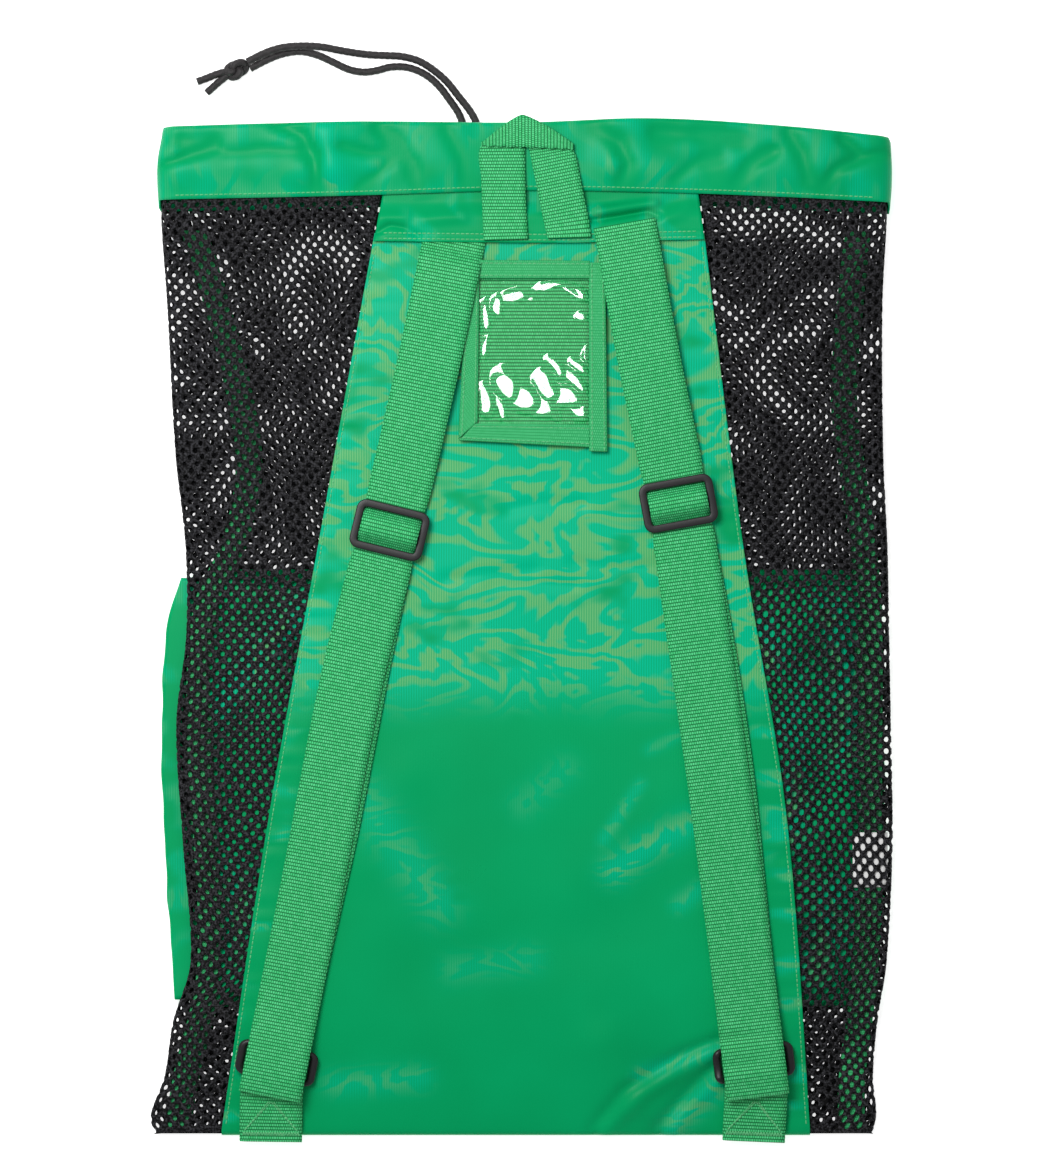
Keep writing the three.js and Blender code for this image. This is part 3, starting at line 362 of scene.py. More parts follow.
def woven_nylon(name, band, stretch, lean):
    material = new_material(name)
    tree = material.node_tree
    place = add_node(tree, "ShaderNodeTexCoord", {}, {}).outputs["Object"]
    turned = add_node(tree, "ShaderNodeMapping", {}, {
        "Vector": place, "Rotation": (0.0, 0.0, lean), "Scale": stretch})
    drift = add_node(tree, "ShaderNodeTexNoise", {}, {
        "Vector": turned.outputs["Vector"], "Scale": lumps(DRIFT_PITCH), "Detail": 3.0,
        "Roughness": 0.5, "Distortion": 0.8})
    split = add_node(tree, "ShaderNodeSeparateXYZ", {}, {"Vector": turned.outputs["Vector"]})
    even = add_node(tree, "ShaderNodeMath", {"operation": "MULTIPLY"}, {
        0: split.outputs["Y"], 1: math.pi / (band * MM)})
    level = add_node(tree, "ShaderNodeMath", {"operation": "MULTIPLY_ADD"}, {
        0: drift.outputs["Fac"], 1: DRIFT_BEND / band, 2: even.outputs["Value"]})
    contour = add_node(tree, "ShaderNodeMath", {"operation": "SINE"}, {0: level.outputs["Value"]})
    tan_share = add_node(tree, "ShaderNodeMapRange", {"interpolation_type": "SMOOTHSTEP"}, {
        "Value": contour.outputs["Value"], "From Min": -0.35, "From Max": 0.8})
    threads = add_node(tree, "ShaderNodeTexWave", {"bands_direction": "X"}, {
        "Vector": place, "Scale": bands(THREAD_PITCH), "Distortion": 0.8, "Detail": 1.0,
        "Detail Scale": 0.4})
    patches = add_node(tree, "ShaderNodeTexNoise", {}, {
        "Vector": turned.outputs["Vector"], "Scale": lumps(LOOSE_PITCH), "Detail": 2.0})
    loose = add_node(tree, "ShaderNodeMapRange", {"interpolation_type": "SMOOTHSTEP"}, {
        "Value": patches.outputs["Fac"], "From Min": 0.29, "From Max": 0.43})
    watered_and_sheen = add_node(tree, "ShaderNodeAttribute", {"attribute_name": "watered_and_sheen"}, {})
    shown = add_node(tree, "ShaderNodeMath", {"operation": "MULTIPLY"}, {
        0: watered_and_sheen.outputs["Fac"], 1: loose.outputs["Result"]})
    # Where the share is low the bands stay teal without tan lines: a soft painted sheen
    tan_shown = add_node(tree, "ShaderNodeMath", {"operation": "MULTIPLY"}, {
        0: tan_share.outputs["Result"], 1: shown.outputs["Value"]})
    bands_colour = add_node(tree, "ShaderNodeMix", {"data_type": "RGBA"}, {
        0: tan_shown.outputs["Value"], 6: linear("#00C096"), 7: linear("#6CBA78")})
    thread_share = add_node(tree, "ShaderNodeMapRange", {}, {
        "Value": threads.outputs["Fac"], "To Min": 0.34, "To Max": 1.0})
    share = add_node(tree, "ShaderNodeMath", {"operation": "MULTIPLY"}, {
        0: shown.outputs["Value"], 1: thread_share.outputs["Result"]})
    tone = add_node(tree, "ShaderNodeTexNoise", {}, {
        "Vector": place, "Scale": lumps(DYE_PITCH), "Detail": 3.0})
    dye = add_node(tree, "ShaderNodeMix", {"data_type": "RGBA"}, {
        0: tone.outputs["Fac"], 6: linear("#009656"), 7: linear("#00AA68")})
    colour = add_node(tree, "ShaderNodeMix", {"data_type": "RGBA"}, {
        0: share.outputs["Value"], 6: dye.outputs[2], 7: bands_colour.outputs[2]})
    relief = add_node(tree, "ShaderNodeBump", {}, {
        "Strength": 0.2, "Distance": 0.1 * MM, "Height": threads.outputs["Fac"]})
    shader = add_node(tree, "ShaderNodeBsdfPrincipled", {}, {
        "Base Color": colour.outputs[2], "Roughness": 0.36, "IOR": 1.53, "Specular IOR Level": 0.06,
        "Normal": relief.outputs["Normal"]})
    add_node(tree, "ShaderNodeOutputMaterial", {}, {"Surface": shader.outputs["BSDF"]})
    return material


# Nylon webbing, woven in ribs across its length: matt, with rows of light thread floats. The gaps
# between the floats and the grooves between the ribs are painted shade, in a darker green.
def ribbed_webbing(name, float_light, float_dark, groove_shade_colour, rib, float_long, groove_shade):
    material = new_material(name)
    tree = material.node_tree
    cloth = add_node(tree, "ShaderNodeUVMap", {"uv_map": "cloth"}, {}).outputs["UV"]
    in_mm = add_node(tree, "ShaderNodeMapping", {}, {"Vector": cloth, "Scale": (1 / MM, 1 / MM, 1 / MM)})
    floats = add_node(tree, "ShaderNodeTexBrick", {"offset": 0.5}, {
        "Vector": in_mm.outputs["Vector"], "Color1": linear(float_light), "Color2": linear(float_dark),
        "Mortar": linear(groove_shade_colour), "Scale": 1.0, "Mortar Size": 0.26, "Mortar Smooth": 0.7,
        "Brick Width": float_long, "Row Height": rib})
    split = add_node(tree, "ShaderNodeSeparateXYZ", {}, {"Vector": in_mm.outputs["Vector"]})
    turns = add_node(tree, "ShaderNodeMath", {"operation": "MULTIPLY"}, {
        0: split.outputs["Y"], 1: 2 * math.pi / rib})
    height = add_node(tree, "ShaderNodeMath", {"operation": "COSINE"}, {0: turns.outputs["Value"]})
    # Painted shade: the colour darkens towards the groove colour in each groove between the ribs
    groove_shade_share = add_node(tree, "ShaderNodeMapRange", {"interpolation_type": "SMOOTHSTEP"}, {
        "Value": height.outputs["Value"], "From Min": -0.1, "From Max": 0.9, "To Max": groove_shade})
    colour = add_node(tree, "ShaderNodeMix", {"data_type": "RGBA"}, {
        0: groove_shade_share.outputs["Result"], 6: floats.outputs["Color"], 7: linear(groove_shade_colour)})
    raised = add_node(tree, "ShaderNodeMath", {"operation": "SUBTRACT"}, {0: 1.0, 1: floats.outputs["Fac"]})
    relief = add_node(tree, "ShaderNodeBump", {}, {
        "Strength": 0.5, "Distance": 0.25 * MM, "Height": raised.outputs["Value"]})
    shader = add_node(tree, "ShaderNodeBsdfPrincipled", {}, {
        "Base Color": colour.outputs[2], "Roughness": 0.6, "IOR": 1.53, "Specular IOR Level": 0.2,
        "Normal": relief.outputs["Normal"]})
    add_node(tree, "ShaderNodeOutputMaterial", {}, {"Surface": shader.outputs["BSDF"]})
    return material


# Warp-knitted polyester net: soft black, with greyer loops in random lumps that are painted highlights, and
# near black between them as painted shade
KNIT_PITCH = 1.3


def knitted_net():
    material = new_material("knitted_polyester_net")
    tree = material.node_tree
    place = add_node(tree, "ShaderNodeTexCoord", {}, {}).outputs["Object"]
    loops = add_node(tree, "ShaderNodeTexNoise", {}, {
        "Vector": place, "Scale": lumps(KNIT_PITCH), "Detail": 2.0})
    painted_loop_light = add_node(tree, "ShaderNodeMapRange", {}, {
        "Value": loops.outputs["Fac"], "From Min": 0.44, "From Max": 0.68})
    colour = add_node(tree, "ShaderNodeMix", {"data_type": "RGBA"}, {
        0: painted_loop_light.outputs["Result"], 6: linear("#030304"), 7: linear("#3A3A3E")})
    relief = add_node(tree, "ShaderNodeBump", {}, {
        "Strength": 0.7, "Distance": 0.4 * MM, "Height": loops.outputs["Fac"]})
    shader = add_node(tree, "ShaderNodeBsdfPrincipled", {}, {
        "Base Color": colour.outputs[2], "Roughness": 0.68, "IOR": 1.5, "Specular IOR Level": 0.15,
        "Normal": relief.outputs["Normal"]})
    add_node(tree, "ShaderNodeOutputMaterial", {}, {"Surface": shader.outputs["BSDF"]})
    return material


# Braided polyester cord: dull black strands that cross, their black lighter in small random lumps
FIBRE_PITCH = 0.9


def braided_cord():
    material = new_material("braided_polyester_cord")
    tree = material.node_tree
    place = add_node(tree, "ShaderNodeTexCoord", {}, {}).outputs["Object"]
    fibres = add_node(tree, "ShaderNodeTexNoise", {}, {
        "Vector": place, "Scale": lumps(FIBRE_PITCH), "Detail": 2.0})
    colour = add_node(tree, "ShaderNodeMix", {"data_type": "RGBA"}, {
        0: fibres.outputs["Fac"], 6: linear("#0E0D0E"), 7: linear("#383436")})
    relief = add_node(tree, "ShaderNodeBump", {}, {
        "Strength": 0.5, "Distance": 0.2 * MM, "Height": fibres.outputs["Fac"]})
    shader = add_node(tree, "ShaderNodeBsdfPrincipled", {}, {
        "Base Color": colour.outputs[2], "Roughness": 0.7, "Normal": relief.outputs["Normal"]})
    add_node(tree, "ShaderNodeOutputMaterial", {}, {"Surface": shader.outputs["BSDF"]})
    return material


# Acetal, injection moulded: near black, satin, with a fine spark-eroded grain, drawn 0.6 mm wide so
# that it shows
GRAIN_PITCH = 0.6


def moulded_acetal():
    material = new_material("moulded_acetal")
    tree = material.node_tree
    place = add_node(tree, "ShaderNodeTexCoord", {}, {}).outputs["Object"]
    grain = add_node(tree, "ShaderNodeTexNoise", {}, {
        "Vector": place, "Scale": lumps(GRAIN_PITCH), "Detail": 2.0})
    colour = add_node(tree, "ShaderNodeMix", {"data_type": "RGBA"}, {
        0: grain.outputs["Fac"], 6: linear("#161517"), 7: linear("#211F22")})
    relief = add_node(tree, "ShaderNodeBump", {}, {
        "Strength": 0.15, "Distance": 0.1 * MM, "Height": grain.outputs["Fac"]})
    shader = add_node(tree, "ShaderNodeBsdfPrincipled", {}, {
        "Base Color": colour.outputs[2], "Roughness": 0.4, "IOR": 1.48, "Specular IOR Level": 0.4,
        "Normal": relief.outputs["Normal"]})
    add_node(tree, "ShaderNodeOutputMaterial", {}, {"Surface": shader.outputs["BSDF"]})
    return material


# Clear PVC film: almost colourless, glossy, so its waves catch hard white glints. Lamps shine
# straight through it.
COCKLE_PITCH = 9


def clear_vinyl():
    material = new_material("clear_vinyl_film")
    tree = material.node_tree
    place = add_node(tree, "ShaderNodeTexCoord", {}, {}).outputs["Object"]
    cockle = add_node(tree, "ShaderNodeTexNoise", {}, {
        "Vector": place, "Scale": lumps(COCKLE_PITCH), "Detail": 1.0})
    relief = add_node(tree, "ShaderNodeBump", {}, {
        "Strength": 0.2, "Distance": 0.3 * MM, "Height": cockle.outputs["Fac"]})
    shader = add_node(tree, "ShaderNodeBsdfPrincipled", {}, {
        "Base Color": linear("#F8FDF9"), "Roughness": 0.04, "IOR": 1.54, "Transmission Weight": 1.0,
        "Normal": relief.outputs["Normal"]})
    lamp_light = add_node(tree, "ShaderNodeBsdfTransparent", {}, {"Color": linear("#F4FAF5")})
    rays = add_node(tree, "ShaderNodeLightPath", {}, {})
    for_bounces = add_node(tree, "ShaderNodeMixShader", {}, {
        0: rays.outputs["Is Diffuse Ray"], 1: shader.outputs["BSDF"], 2: lamp_light.outputs["BSDF"]})
    clear = add_node(tree, "ShaderNodeMixShader", {}, {
        0: rays.outputs["Is Shadow Ray"], 1: for_bounces.outputs["Shader"], 2: lamp_light.outputs["BSDF"]})
    add_node(tree, "ShaderNodeOutputMaterial", {}, {"Surface": clear.outputs["Shader"]})
    return material


# Polyester sewing thread: a shade lighter than the cloth, with a soft twist
TWIST_PITCH = 2.5


def sewing_thread():
    material = new_material("polyester_thread")
    tree = material.node_tree
    place = add_node(tree, "ShaderNodeTexCoord", {}, {}).outputs["Object"]
    twist = add_node(tree, "ShaderNodeTexNoise", {}, {
        "Vector": place, "Scale": lumps(TWIST_PITCH), "Detail": 1.0})
    colour = add_node(tree, "ShaderNodeMix", {"data_type": "RGBA"}, {
        0: twist.outputs["Fac"], 6: linear("#38B070"), 7: linear("#82D096")})
    shader = add_node(tree, "ShaderNodeBsdfPrincipled", {}, {
        "Base Color": colour.outputs[2], "Roughness": 0.5, "Specular IOR Level": 0.15})
    add_node(tree, "ShaderNodeOutputMaterial", {}, {"Surface": shader.outputs["BSDF"]})
    return material


# Woven satin label: clean white, nothing on it, with faint level threads, drawn 1.2 mm apart so that
# they show
LABEL_THREAD_PITCH = 1.2


def satin_label():
    material = new_material("woven_satin_label")
    tree = material.node_tree
    place = add_node(tree, "ShaderNodeTexCoord", {}, {}).outputs["Object"]
    threads = add_node(tree, "ShaderNodeTexWave", {"bands_direction": "Y"}, {
        "Vector": place, "Scale": bands(LABEL_THREAD_PITCH), "Distortion": 0.5})
    colour = add_node(tree, "ShaderNodeMix", {"data_type": "RGBA"}, {
        0: threads.outputs["Fac"], 6: linear("#E8E8E6"), 7: linear("#FAFAF9")})
    shader = add_node(tree, "ShaderNodeBsdfPrincipled", {}, {
        "Base Color": colour.outputs[2], "Roughness": 0.55})
    add_node(tree, "ShaderNodeOutputMaterial", {}, {"Surface": shader.outputs["BSDF"]})
    return material


# Ribs of the shoulder webbing, as far apart as on the bag
RIB = 2.05
NYLON_BACK = woven_nylon("nylon_taffeta_back", band=9.0, stretch=(0.6, 1.0, 1.0), lean=-0.2)
NYLON_HEM = woven_nylon("nylon_taffeta_hem", band=12.0, stretch=(1.0, 0.4, 1.0), lean=1.9)
WEBBING = ribbed_webbing("nylon_webbing", "#5CDE92", "#40CB7A", "#02753B", rib=RIB, float_long=1.4,
                         groove_shade=0.85)
BINDING = ribbed_webbing("nylon_binding_tape", "#4CC27E", "#3DB770", "#1B9A56", rib=1.6, float_long=1.3,
                         groove_shade=0.3)
NET_BLACK = knitted_net()
CORD_BLACK = braided_cord()
PLASTIC = moulded_acetal()
VINYL = clear_vinyl()
THREAD = sewing_thread()
LABEL_WHITE = satin_label()


# A grid of cloth cells whose corners go where place(across, along) says, both shares from 0 to 1.
# Its UV map holds the cloth's own width and length.
def cloth_grid(cells_across, cells_along, wide, long, place):
    bm = bmesh.new()
    uv = bm.loops.layers.uv.new("cloth")
    bmesh.ops.create_grid(bm, x_segments=cells_across, y_segments=cells_along, size=0.5)
    for face in bm.faces:
        for loop in face.loops:
            across = loop.vert.co.x + 0.5
            along = loop.vert.co.y + 0.5
            loop[uv].uv = (across * wide * MM, along * long * MM)
    for vert in bm.verts:
        vert.co = place(vert.co.x + 0.5, vert.co.y + 0.5)
    return bm


# Gives a surface its thickness, half to each side
def thicken(bm, thickness):
    bm.normal_update()
    for vert in bm.verts:
        vert.co += vert.normal * thickness / 2
    bmesh.ops.solidify(bm, geom=bm.faces[:], thickness=thickness)


# Turns a mesh in millimetres into a finished piece on the bag
def finish_piece(bm, name, material, slot, *nodes):
    bmesh.ops.scale(bm, vec=(MM, MM, MM), verts=bm.verts)
    mesh = bpy.data.meshes.new(name)
    bm.to_mesh(mesh)
    bm.free()
    mesh.materials.append(material)
    mesh.shade_smooth()
    piece = bpy.data.objects.new(name, mesh)
    bpy.context.scene.collection.objects.link(piece)
    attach(piece, "root")
    if nodes:
        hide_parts(*nodes)
    return piece


# Adds one mesh to another
def join(bm, other):
    mesh = bpy.data.meshes.new("joined")
    other.to_mesh(mesh)
    other.free()
    bm.from_mesh(mesh)
    bpy.data.meshes.remove(mesh)


# A smooth route through points: rows by the distance along it
def route_through(points):
    rows = []
    distance = 0.0
    for i, point in enumerate(points):
        if i:
            distance += (Vector(point) - Vector(points[i - 1])).length
        rows.append(dict(at=distance, x=point[0], y=point[1], z=point[2]))
    return rows


def route_point(route, along):
    return Vector([value_at(route, axis, along) for axis in "xyz"])


TUBE_MERGE = 1e-4


# A round tube along a line of points, its surface moved out by relief(turn, row)
def tube(line, radius, sides, closed_line, relief):
    last = len(line) - 1
    frames = []
    for i, point in enumerate(line):
        before = line[(i - 1) % last] if closed_line else line[max(i - 1, 0)]
        after = line[(i + 1) % last] if closed_line else line[min(i + 1, last)]
        way = (after - before).normalized()
        side = way.cross(Vector((0, 0, 1))).normalized()
        frames.append((point, side, side.cross(way)))

    def place(across, along):
        row = round(along * last)
        point, side, up = frames[row]
        angle = 2 * math.pi * across
        reach = radius + relief(across, row)
        return point + side * (reach * math.cos(angle)) + up * (reach * math.sin(angle))

    bm = cloth_grid(sides, last, 2 * math.pi * radius, last, place)
    bmesh.ops.remove_doubles(bm, verts=bm.verts[:], dist=TUBE_MERGE)
    if not closed_line:
        open_edges = [edge for edge in bm.edges if edge.is_boundary]
        bmesh.ops.holes_fill(bm, edges=open_edges, sides=0)
    bmesh.ops.recalc_face_normals(bm, faces=bm.faces[:])
    return bm


# Free ends of the drawcord, from the slot in the hem to the knot, lying on the floor
CORD_ON_FLOOR = 2.4
CORD_LAY = 7.0
CORD_STEP = 0.5
CORD_SIDES = 16
BRAID_STRANDS = 4
BRAID_RELIEF = 0.22
BRAID_MIDDLE = 0.5
STRAND_A = [
    (-26.9, 301, 3.5), (-27.6, 306, 3.1), (-31.5, 313, CORD_ON_FLOOR), (-37.8, 321, CORD_ON_FLOOR),
    (-45, 330, CORD_ON_FLOOR), (-53, 337, CORD_ON_FLOOR), (-62, 342.5, CORD_ON_FLOOR),
    (-72, 345.2, CORD_ON_FLOOR), (-82, 345.8, CORD_ON_FLOOR), (-91, 346.2, 2.8), (-100, 347.2, 3.8),
    (-110, 348.8, 5.2), (-120, 350.6, 6.4), (-131, 351.2, 6.9), (-143, 350.4, 6.9), (-153, 347.6, 6.7),
    (-165.2, 341.7, 6.4),
]
STRAND_B = [
    (-35.3, 301, 3.5), (-35.9, 306, 3.1), (-38.5, 312, CORD_ON_FLOOR), (-43.7, 319.5, CORD_ON_FLOOR),
    (-49, 326.5, CORD_ON_FLOOR), (-55, 332.2, CORD_ON_FLOOR), (-62, 336.4, CORD_ON_FLOOR),
    (-70, 338.8, CORD_ON_FLOOR), (-79, 338.8, CORD_ON_FLOOR), (-87, 336.8, CORD_ON_FLOOR),
    (-95, 335.8, CORD_ON_FLOOR), (-104, 337.4, CORD_ON_FLOOR), (-114, 342, CORD_ON_FLOOR),
    (-123, 346, CORD_ON_FLOOR), (-133, 348.2, CORD_ON_FLOOR), (-143, 347, CORD_ON_FLOOR),
    (-152, 343.8, CORD_ON_FLOOR), (-163.6, 337.9, CORD_ON_FLOOR),
]
TAILS = [
    [(-176, 336.5, 5), (-184, 334.2, 4), (-190, 332, CORD_ON_FLOOR), (-195.5, 330, CORD_ON_FLOOR)],
    [(-176, 334.5, 4.4), (-182, 330, 3.4), (-186, 326.6, CORD_ON_FLOOR), (-189.8, 323.2, CORD_ON_FLOOR)],
]
KNOT_CENTRE = Vector((-172.3, 336.8, 5.1))
KNOT_REACH = 5.0
KNOT_LOBE = 2.3
KNOT_HEIGHT = 2.4
KNOT_ROUND = 0.62
KNOT_STRETCH = (1.2, 0.85)
KNOT_LEAN = 0.3
KNOT_TURN = 0.5
KNOT_STEPS = 120


# Two sets of strands wound opposite ways; the higher one shows
def braid(across, row):
    lay = row * CORD_STEP / CORD_LAY
    one = math.sin(2 * math.pi * (BRAID_STRANDS * across + lay))
    other = math.sin(2 * math.pi * (BRAID_STRANDS * across - lay))
    return BRAID_RELIEF * (max(one, other) - BRAID_MIDDLE)


def cord_line(points):
    route = route_through(points)
    steps = round(route[-1]["at"] / CORD_STEP)
    return [route_point(route, route[-1]["at"] * i / steps) for i in range(steps + 1)]


# The knot: one cord wound over and under itself, and the two cut tails
def tied_knot():
    turned = Matrix.Rotation(KNOT_TURN, 3, "Z")
    line = []
    for i in range(KNOT_STEPS + 1):
        angle = 2 * math.pi * i / KNOT_STEPS
        reach = KNOT_REACH * (KNOT_ROUND + (1 - KNOT_ROUND) * math.cos(3 * angle))
        winding = Vector((KNOT_STRETCH[0] * reach * math.cos(2 * angle),
                          KNOT_STRETCH[1] * reach * math.sin(2 * angle),
                          KNOT_HEIGHT * math.sin(3 * angle)))
        lean = Vector((KNOT_LOBE * math.cos(4 * angle), KNOT_LOBE * math.sin(4 * angle), 0.0))
        line.append(KNOT_CENTRE + turned @ (winding + KNOT_LEAN * lean))
    bm = tube(line, CORD_RADIUS, CORD_SIDES, True, braid)
    for tail in TAILS:
        join(bm, tube(cord_line(tail), CORD_RADIUS, CORD_SIDES, False, braid))
    return finish_piece(bm, "tied_knot", CORD_BLACK, "cord", "drawcord_knot")


def free_strand(name, node, points):
    line = cord_line(points)
    strand = finish_piece(tube(line, CORD_RADIUS, CORD_SIDES, False, braid), name, CORD_BLACK, "cord", node)


knot = tied_knot()
free_strand("strand_a_cord", "drawcord_strand_a", STRAND_A)
free_strand("strand_b_cord", "drawcord_strand_b", STRAND_B)
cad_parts["drawcord_loop"].data.materials[0] = CORD_BLACK

# The nylon sheets
PANEL_CELLS = 104
PANEL_ROWS = 210
PANEL_MEAN_WIDE = 300.0
EDGE_CELLS = 14
EDGE_STEP = 0.9
PUCKER_PITCH = 16.0
PUCKER_HEIGHT = 0.8
PUCKER_REACH = 12.0
PUCKER_START = 4.0
PUCKER_WANDER = 1.6
PUCKER_WANDER_PITCH = 37.0
PUCKER_SWELL = (0.6, 0.8)
PUCKER_SWELL_PITCH = 23.0
PUCKER_SWELL_LINE = 9.0
SEAM_SEEDS = dict(left=3.0, right=8.0)
STITCH_ROW = 2.2
YOKE_ROWS = (1.7, 5.0)
STITCH_DENT = 0.25
DENT_WIDE = 0.8
SWAY_PITCH = 62.0
SWAY_HEIGHT = 1.3
SWAY_ALONG = (0.8, 0.6)
SWAY_ACROSS = (0.4, 0.5)
SWAY_FADE = 16
# The card window keeps the cloth round it flat
STIFF = dict(left=-38, right=52, low=108, high=224, share=0.12, reach=20.0)


# Loose lie of the back panel, which all that lies on it follows
def loose_lie(x, y):
    along = SWAY_ALONG[0] * x + SWAY_ALONG[1] * y
    across = SWAY_ACROSS[1] * y - SWAY_ACROSS[0] * x
    sway = SWAY_HEIGHT * ripple(along, across, SWAY_PITCH, seed=1.0)
    fade = 1 - smoothstep(y, PANEL_TOP - SWAY_FADE, PANEL_TOP)
    past_x = max(STIFF["left"] - x, x - STIFF["right"], 0.0)
    past_y = max(STIFF["low"] - y, y - STIFF["high"], 0.0)
    freed = mix(STIFF["share"], 1.0, smoothstep(math.hypot(past_x, past_y), 0.0, STIFF["reach"]))
    return (sway + sum(fold_height(crease, x, y) for crease in PANEL_CREASES)) * fade * freed


def on_panel(x, y, above):
    return Vector((x, y, back_height(x, y) + loose_lie(x, y) + above))


# Puckers and sunk stitch rows beside a seam
def seam_relief(from_edge, along, seed):
    wander = PUCKER_WANDER * ripple(along, 0.0, PUCKER_WANDER_PITCH, seed)
    mean, swing = PUCKER_SWELL
    swell = mean + swing * ripple(along, PUCKER_SWELL_LINE, PUCKER_SWELL_PITCH, seed)
    wave = math.sin(2 * math.pi * (along / PUCKER_PITCH + wander)) * swell
    near = math.exp(-from_edge / PUCKER_REACH) * smoothstep(from_edge, 0.0, PUCKER_START)
    dent = math.exp(-((from_edge - STITCH_ROW) / DENT_WIDE) ** 2)
    return PUCKER_HEIGHT * wave * near - STITCH_DENT * dent


# Cells are narrow beside the edges, where the seams are, and wide between
def panel_x(across, left, right):
    cells = across * PANEL_CELLS
    band = EDGE_CELLS * EDGE_STEP
    if cells <= EDGE_CELLS:
        return left + cells * EDGE_STEP
    if cells >= PANEL_CELLS - EDGE_CELLS:
        return right - (PANEL_CELLS - cells) * EDGE_STEP
    share = (cells - EDGE_CELLS) / (PANEL_CELLS - 2 * EDGE_CELLS)
    return mix(left + band, right - band, share)


def panel_point(across, y):
    left = value_at(PANEL_EDGES, "left", y)
    right = value_at(PANEL_EDGES, "right", y)
    x = panel_x(across, left, right)
    from_left = x - left
    from_right = right - x
    side = "left" if from_left < from_right else "right"
    return on_panel(x, y, seam_relief(min(from_left, from_right), y, SEAM_SEEDS[side]))


# Where the cloth's watered pattern shows: all over the upper panel; below, only in patches, which are
# painted sheen where the lower panel catches the light
WATERED_EDGE = (-62.0, -22.0)
PAINTED_SHEEN_PATCHES = [
    dict(points=[(-97, -99), (-73, -132), (-49, -165)], height=0.6, width=14),
    dict(points=[(56, -144), (77, -129), (101, -117)], height=0.9, width=10),
    dict(points=[(49, -126), (71, -93)], height=0.65, width=4),
    dict(points=[(1, -105), (26, -84)], height=0.4, width=10),
    dict(points=[(-40, -204), (5, -198)], height=0.45, width=10),
    dict(points=[(-112, -273), (-61, -270)], height=0.6, width=9),
    dict(points=[(77, -72), (95, -63)], height=0.5, width=4),
    dict(points=[(95, -165), (107, -156)], height=0.65, width=6),
    dict(points=[(71, -267), (119, -252)], height=0.75, width=5),
    dict(points=[(92, -298), (117, -276)], height=0.85, width=8),
]
WATERED_WANDER = 12.0
WATERED_WANDER_PITCH = 50.0
WATERED_ALL = WATERED_EDGE[1] + 20

# The puckers along the side seams show it too
SEAM_WATERED = 0.8
SEAM_WATERED_PITCH = 12.0
SEAM_WATERED_LONG = 0.2
SEAM_WATERED_SOFT = 0.25
SEAM_WATERED_REACH = (8.0, 22.0)


def panel_watered_and_sheen(x, y):
    if y > WATERED_ALL:
        return 1.0
    edge = WATERED_WANDER * ripple(x, y, WATERED_WANDER_PITCH, seed=20.0)
    # Painted sheen: lighter satin patches where the lower panel catches the light
    patches = sum(fold_height(patch, x, y) for patch in PAINTED_SHEEN_PATCHES)
    from_seam = min(x - value_at(PANEL_EDGES, "left", y), value_at(PANEL_EDGES, "right", y) - x)
    pucker = ripple(SEAM_WATERED_LONG * x, y, SEAM_WATERED_PITCH, seed=30.0)
    pucker = smoothstep(pucker, 0.0, SEAM_WATERED_SOFT)
    seam = SEAM_WATERED * pucker * (1 - smoothstep(from_seam, *SEAM_WATERED_REACH))
    return min(smoothstep(y + edge, *WATERED_EDGE) + patches + seam, 1.0)


def give_watered_and_sheen(piece, strength):
    places = [vert.co / MM for vert in piece.data.vertices]
    values = [strength(place.x, place.y) for place in places]
    piece.data.attributes.new("watered_and_sheen", "FLOAT", "POINT").data.foreach_set("value", values)


# The smaller sheets show it in speckled patches
SPECKLE = 0.5
SPECKLE_PITCH = 24.0
SPECKLE_FLAT = 1.4
SPECKLE_SOFT = 0.35


def speckled(x, y):
    return SPECKLE * smoothstep(ripple(x, SPECKLE_FLAT * y, SPECKLE_PITCH, seed=40.0), 0.0, SPECKLE_SOFT)


# Back panel, turned under along the bottom edge
def back_panel():
    under = NYLON / 2
    radius = (back_height(0.0, PANEL_FOLD) - under) / 2
    down = PANEL_TOP - PANEL_FOLD
    turn = math.pi * radius
    length = down + turn + PANEL_HEM - PANEL_FOLD

    def place(across, along):
        distance = (1 - along) * length
        if distance <= down:
            return panel_point(across, PANEL_TOP - distance)
        angle = min((distance - down) / radius, math.pi)
        fold = panel_point(across, PANEL_FOLD)
        height = (fold.z - under) / 2
        y = PANEL_FOLD - radius * math.sin(angle) + max(distance - down - turn, 0.0)
        return Vector((fold.x, y, under + height * (1 + math.cos(angle))))

    bm = cloth_grid(PANEL_CELLS, PANEL_ROWS, PANEL_MEAN_WIDE, length, place)
    thicken(bm, NYLON)
    panel = finish_piece(bm, "back_cloth", NYLON_BACK, "nylon", "back_panel")
    give_watered_and_sheen(panel, panel_watered_and_sheen)


# Yoke strip: its lower edge stands over the strap ends, its top goes into the hem
YOKE_LOW = 233.0
YOKE_HIGH = 268.0
YOKE_TUCK = 5.0
YOKE_LIFT = 3.4
YOKE_LIFT_ENDS = (YOKE_LOW + 13, YOKE_LOW + 25)
YOKE_WRINKLE = 0.9
YOKE_WRINKLE_PITCH = 17.0
YOKE_WRINKLE_LEAN = (0.4, 0.6)
YOKE_WRINKLE_STARTS = (YOKE_LOW + 8, YOKE_LOW + 20)
YOKE_WRINKLE_ENDS = (YOKE_LOW + 24, YOKE_LOW + 30)
YOKE_SIZE = (195.0, 36.0)
YOKE_CELLS = (110, 36)
YOKE_CREASES = [
    dict(points=[(42, 245.5), (59, 248), (76, 251), (82, 248)], height=-3.8, width=2.3),
    dict(points=[(46, 251), (62, 253.5), (80, 256)], height=3.0, width=2.8),
    dict(points=[(86, 246), (100, 254)], height=1.0, width=4.0),
    dict(points=[(-87, 238), (-79, 242.5), (-70, 241), (-62, 236)], height=-2.2, width=2.2),
    dict(points=[(-84, 247), (-70, 248)], height=1.0, width=3.4),
    dict(points=[(-58, 246), (-36, 248)], height=1.2, width=4.0),
]


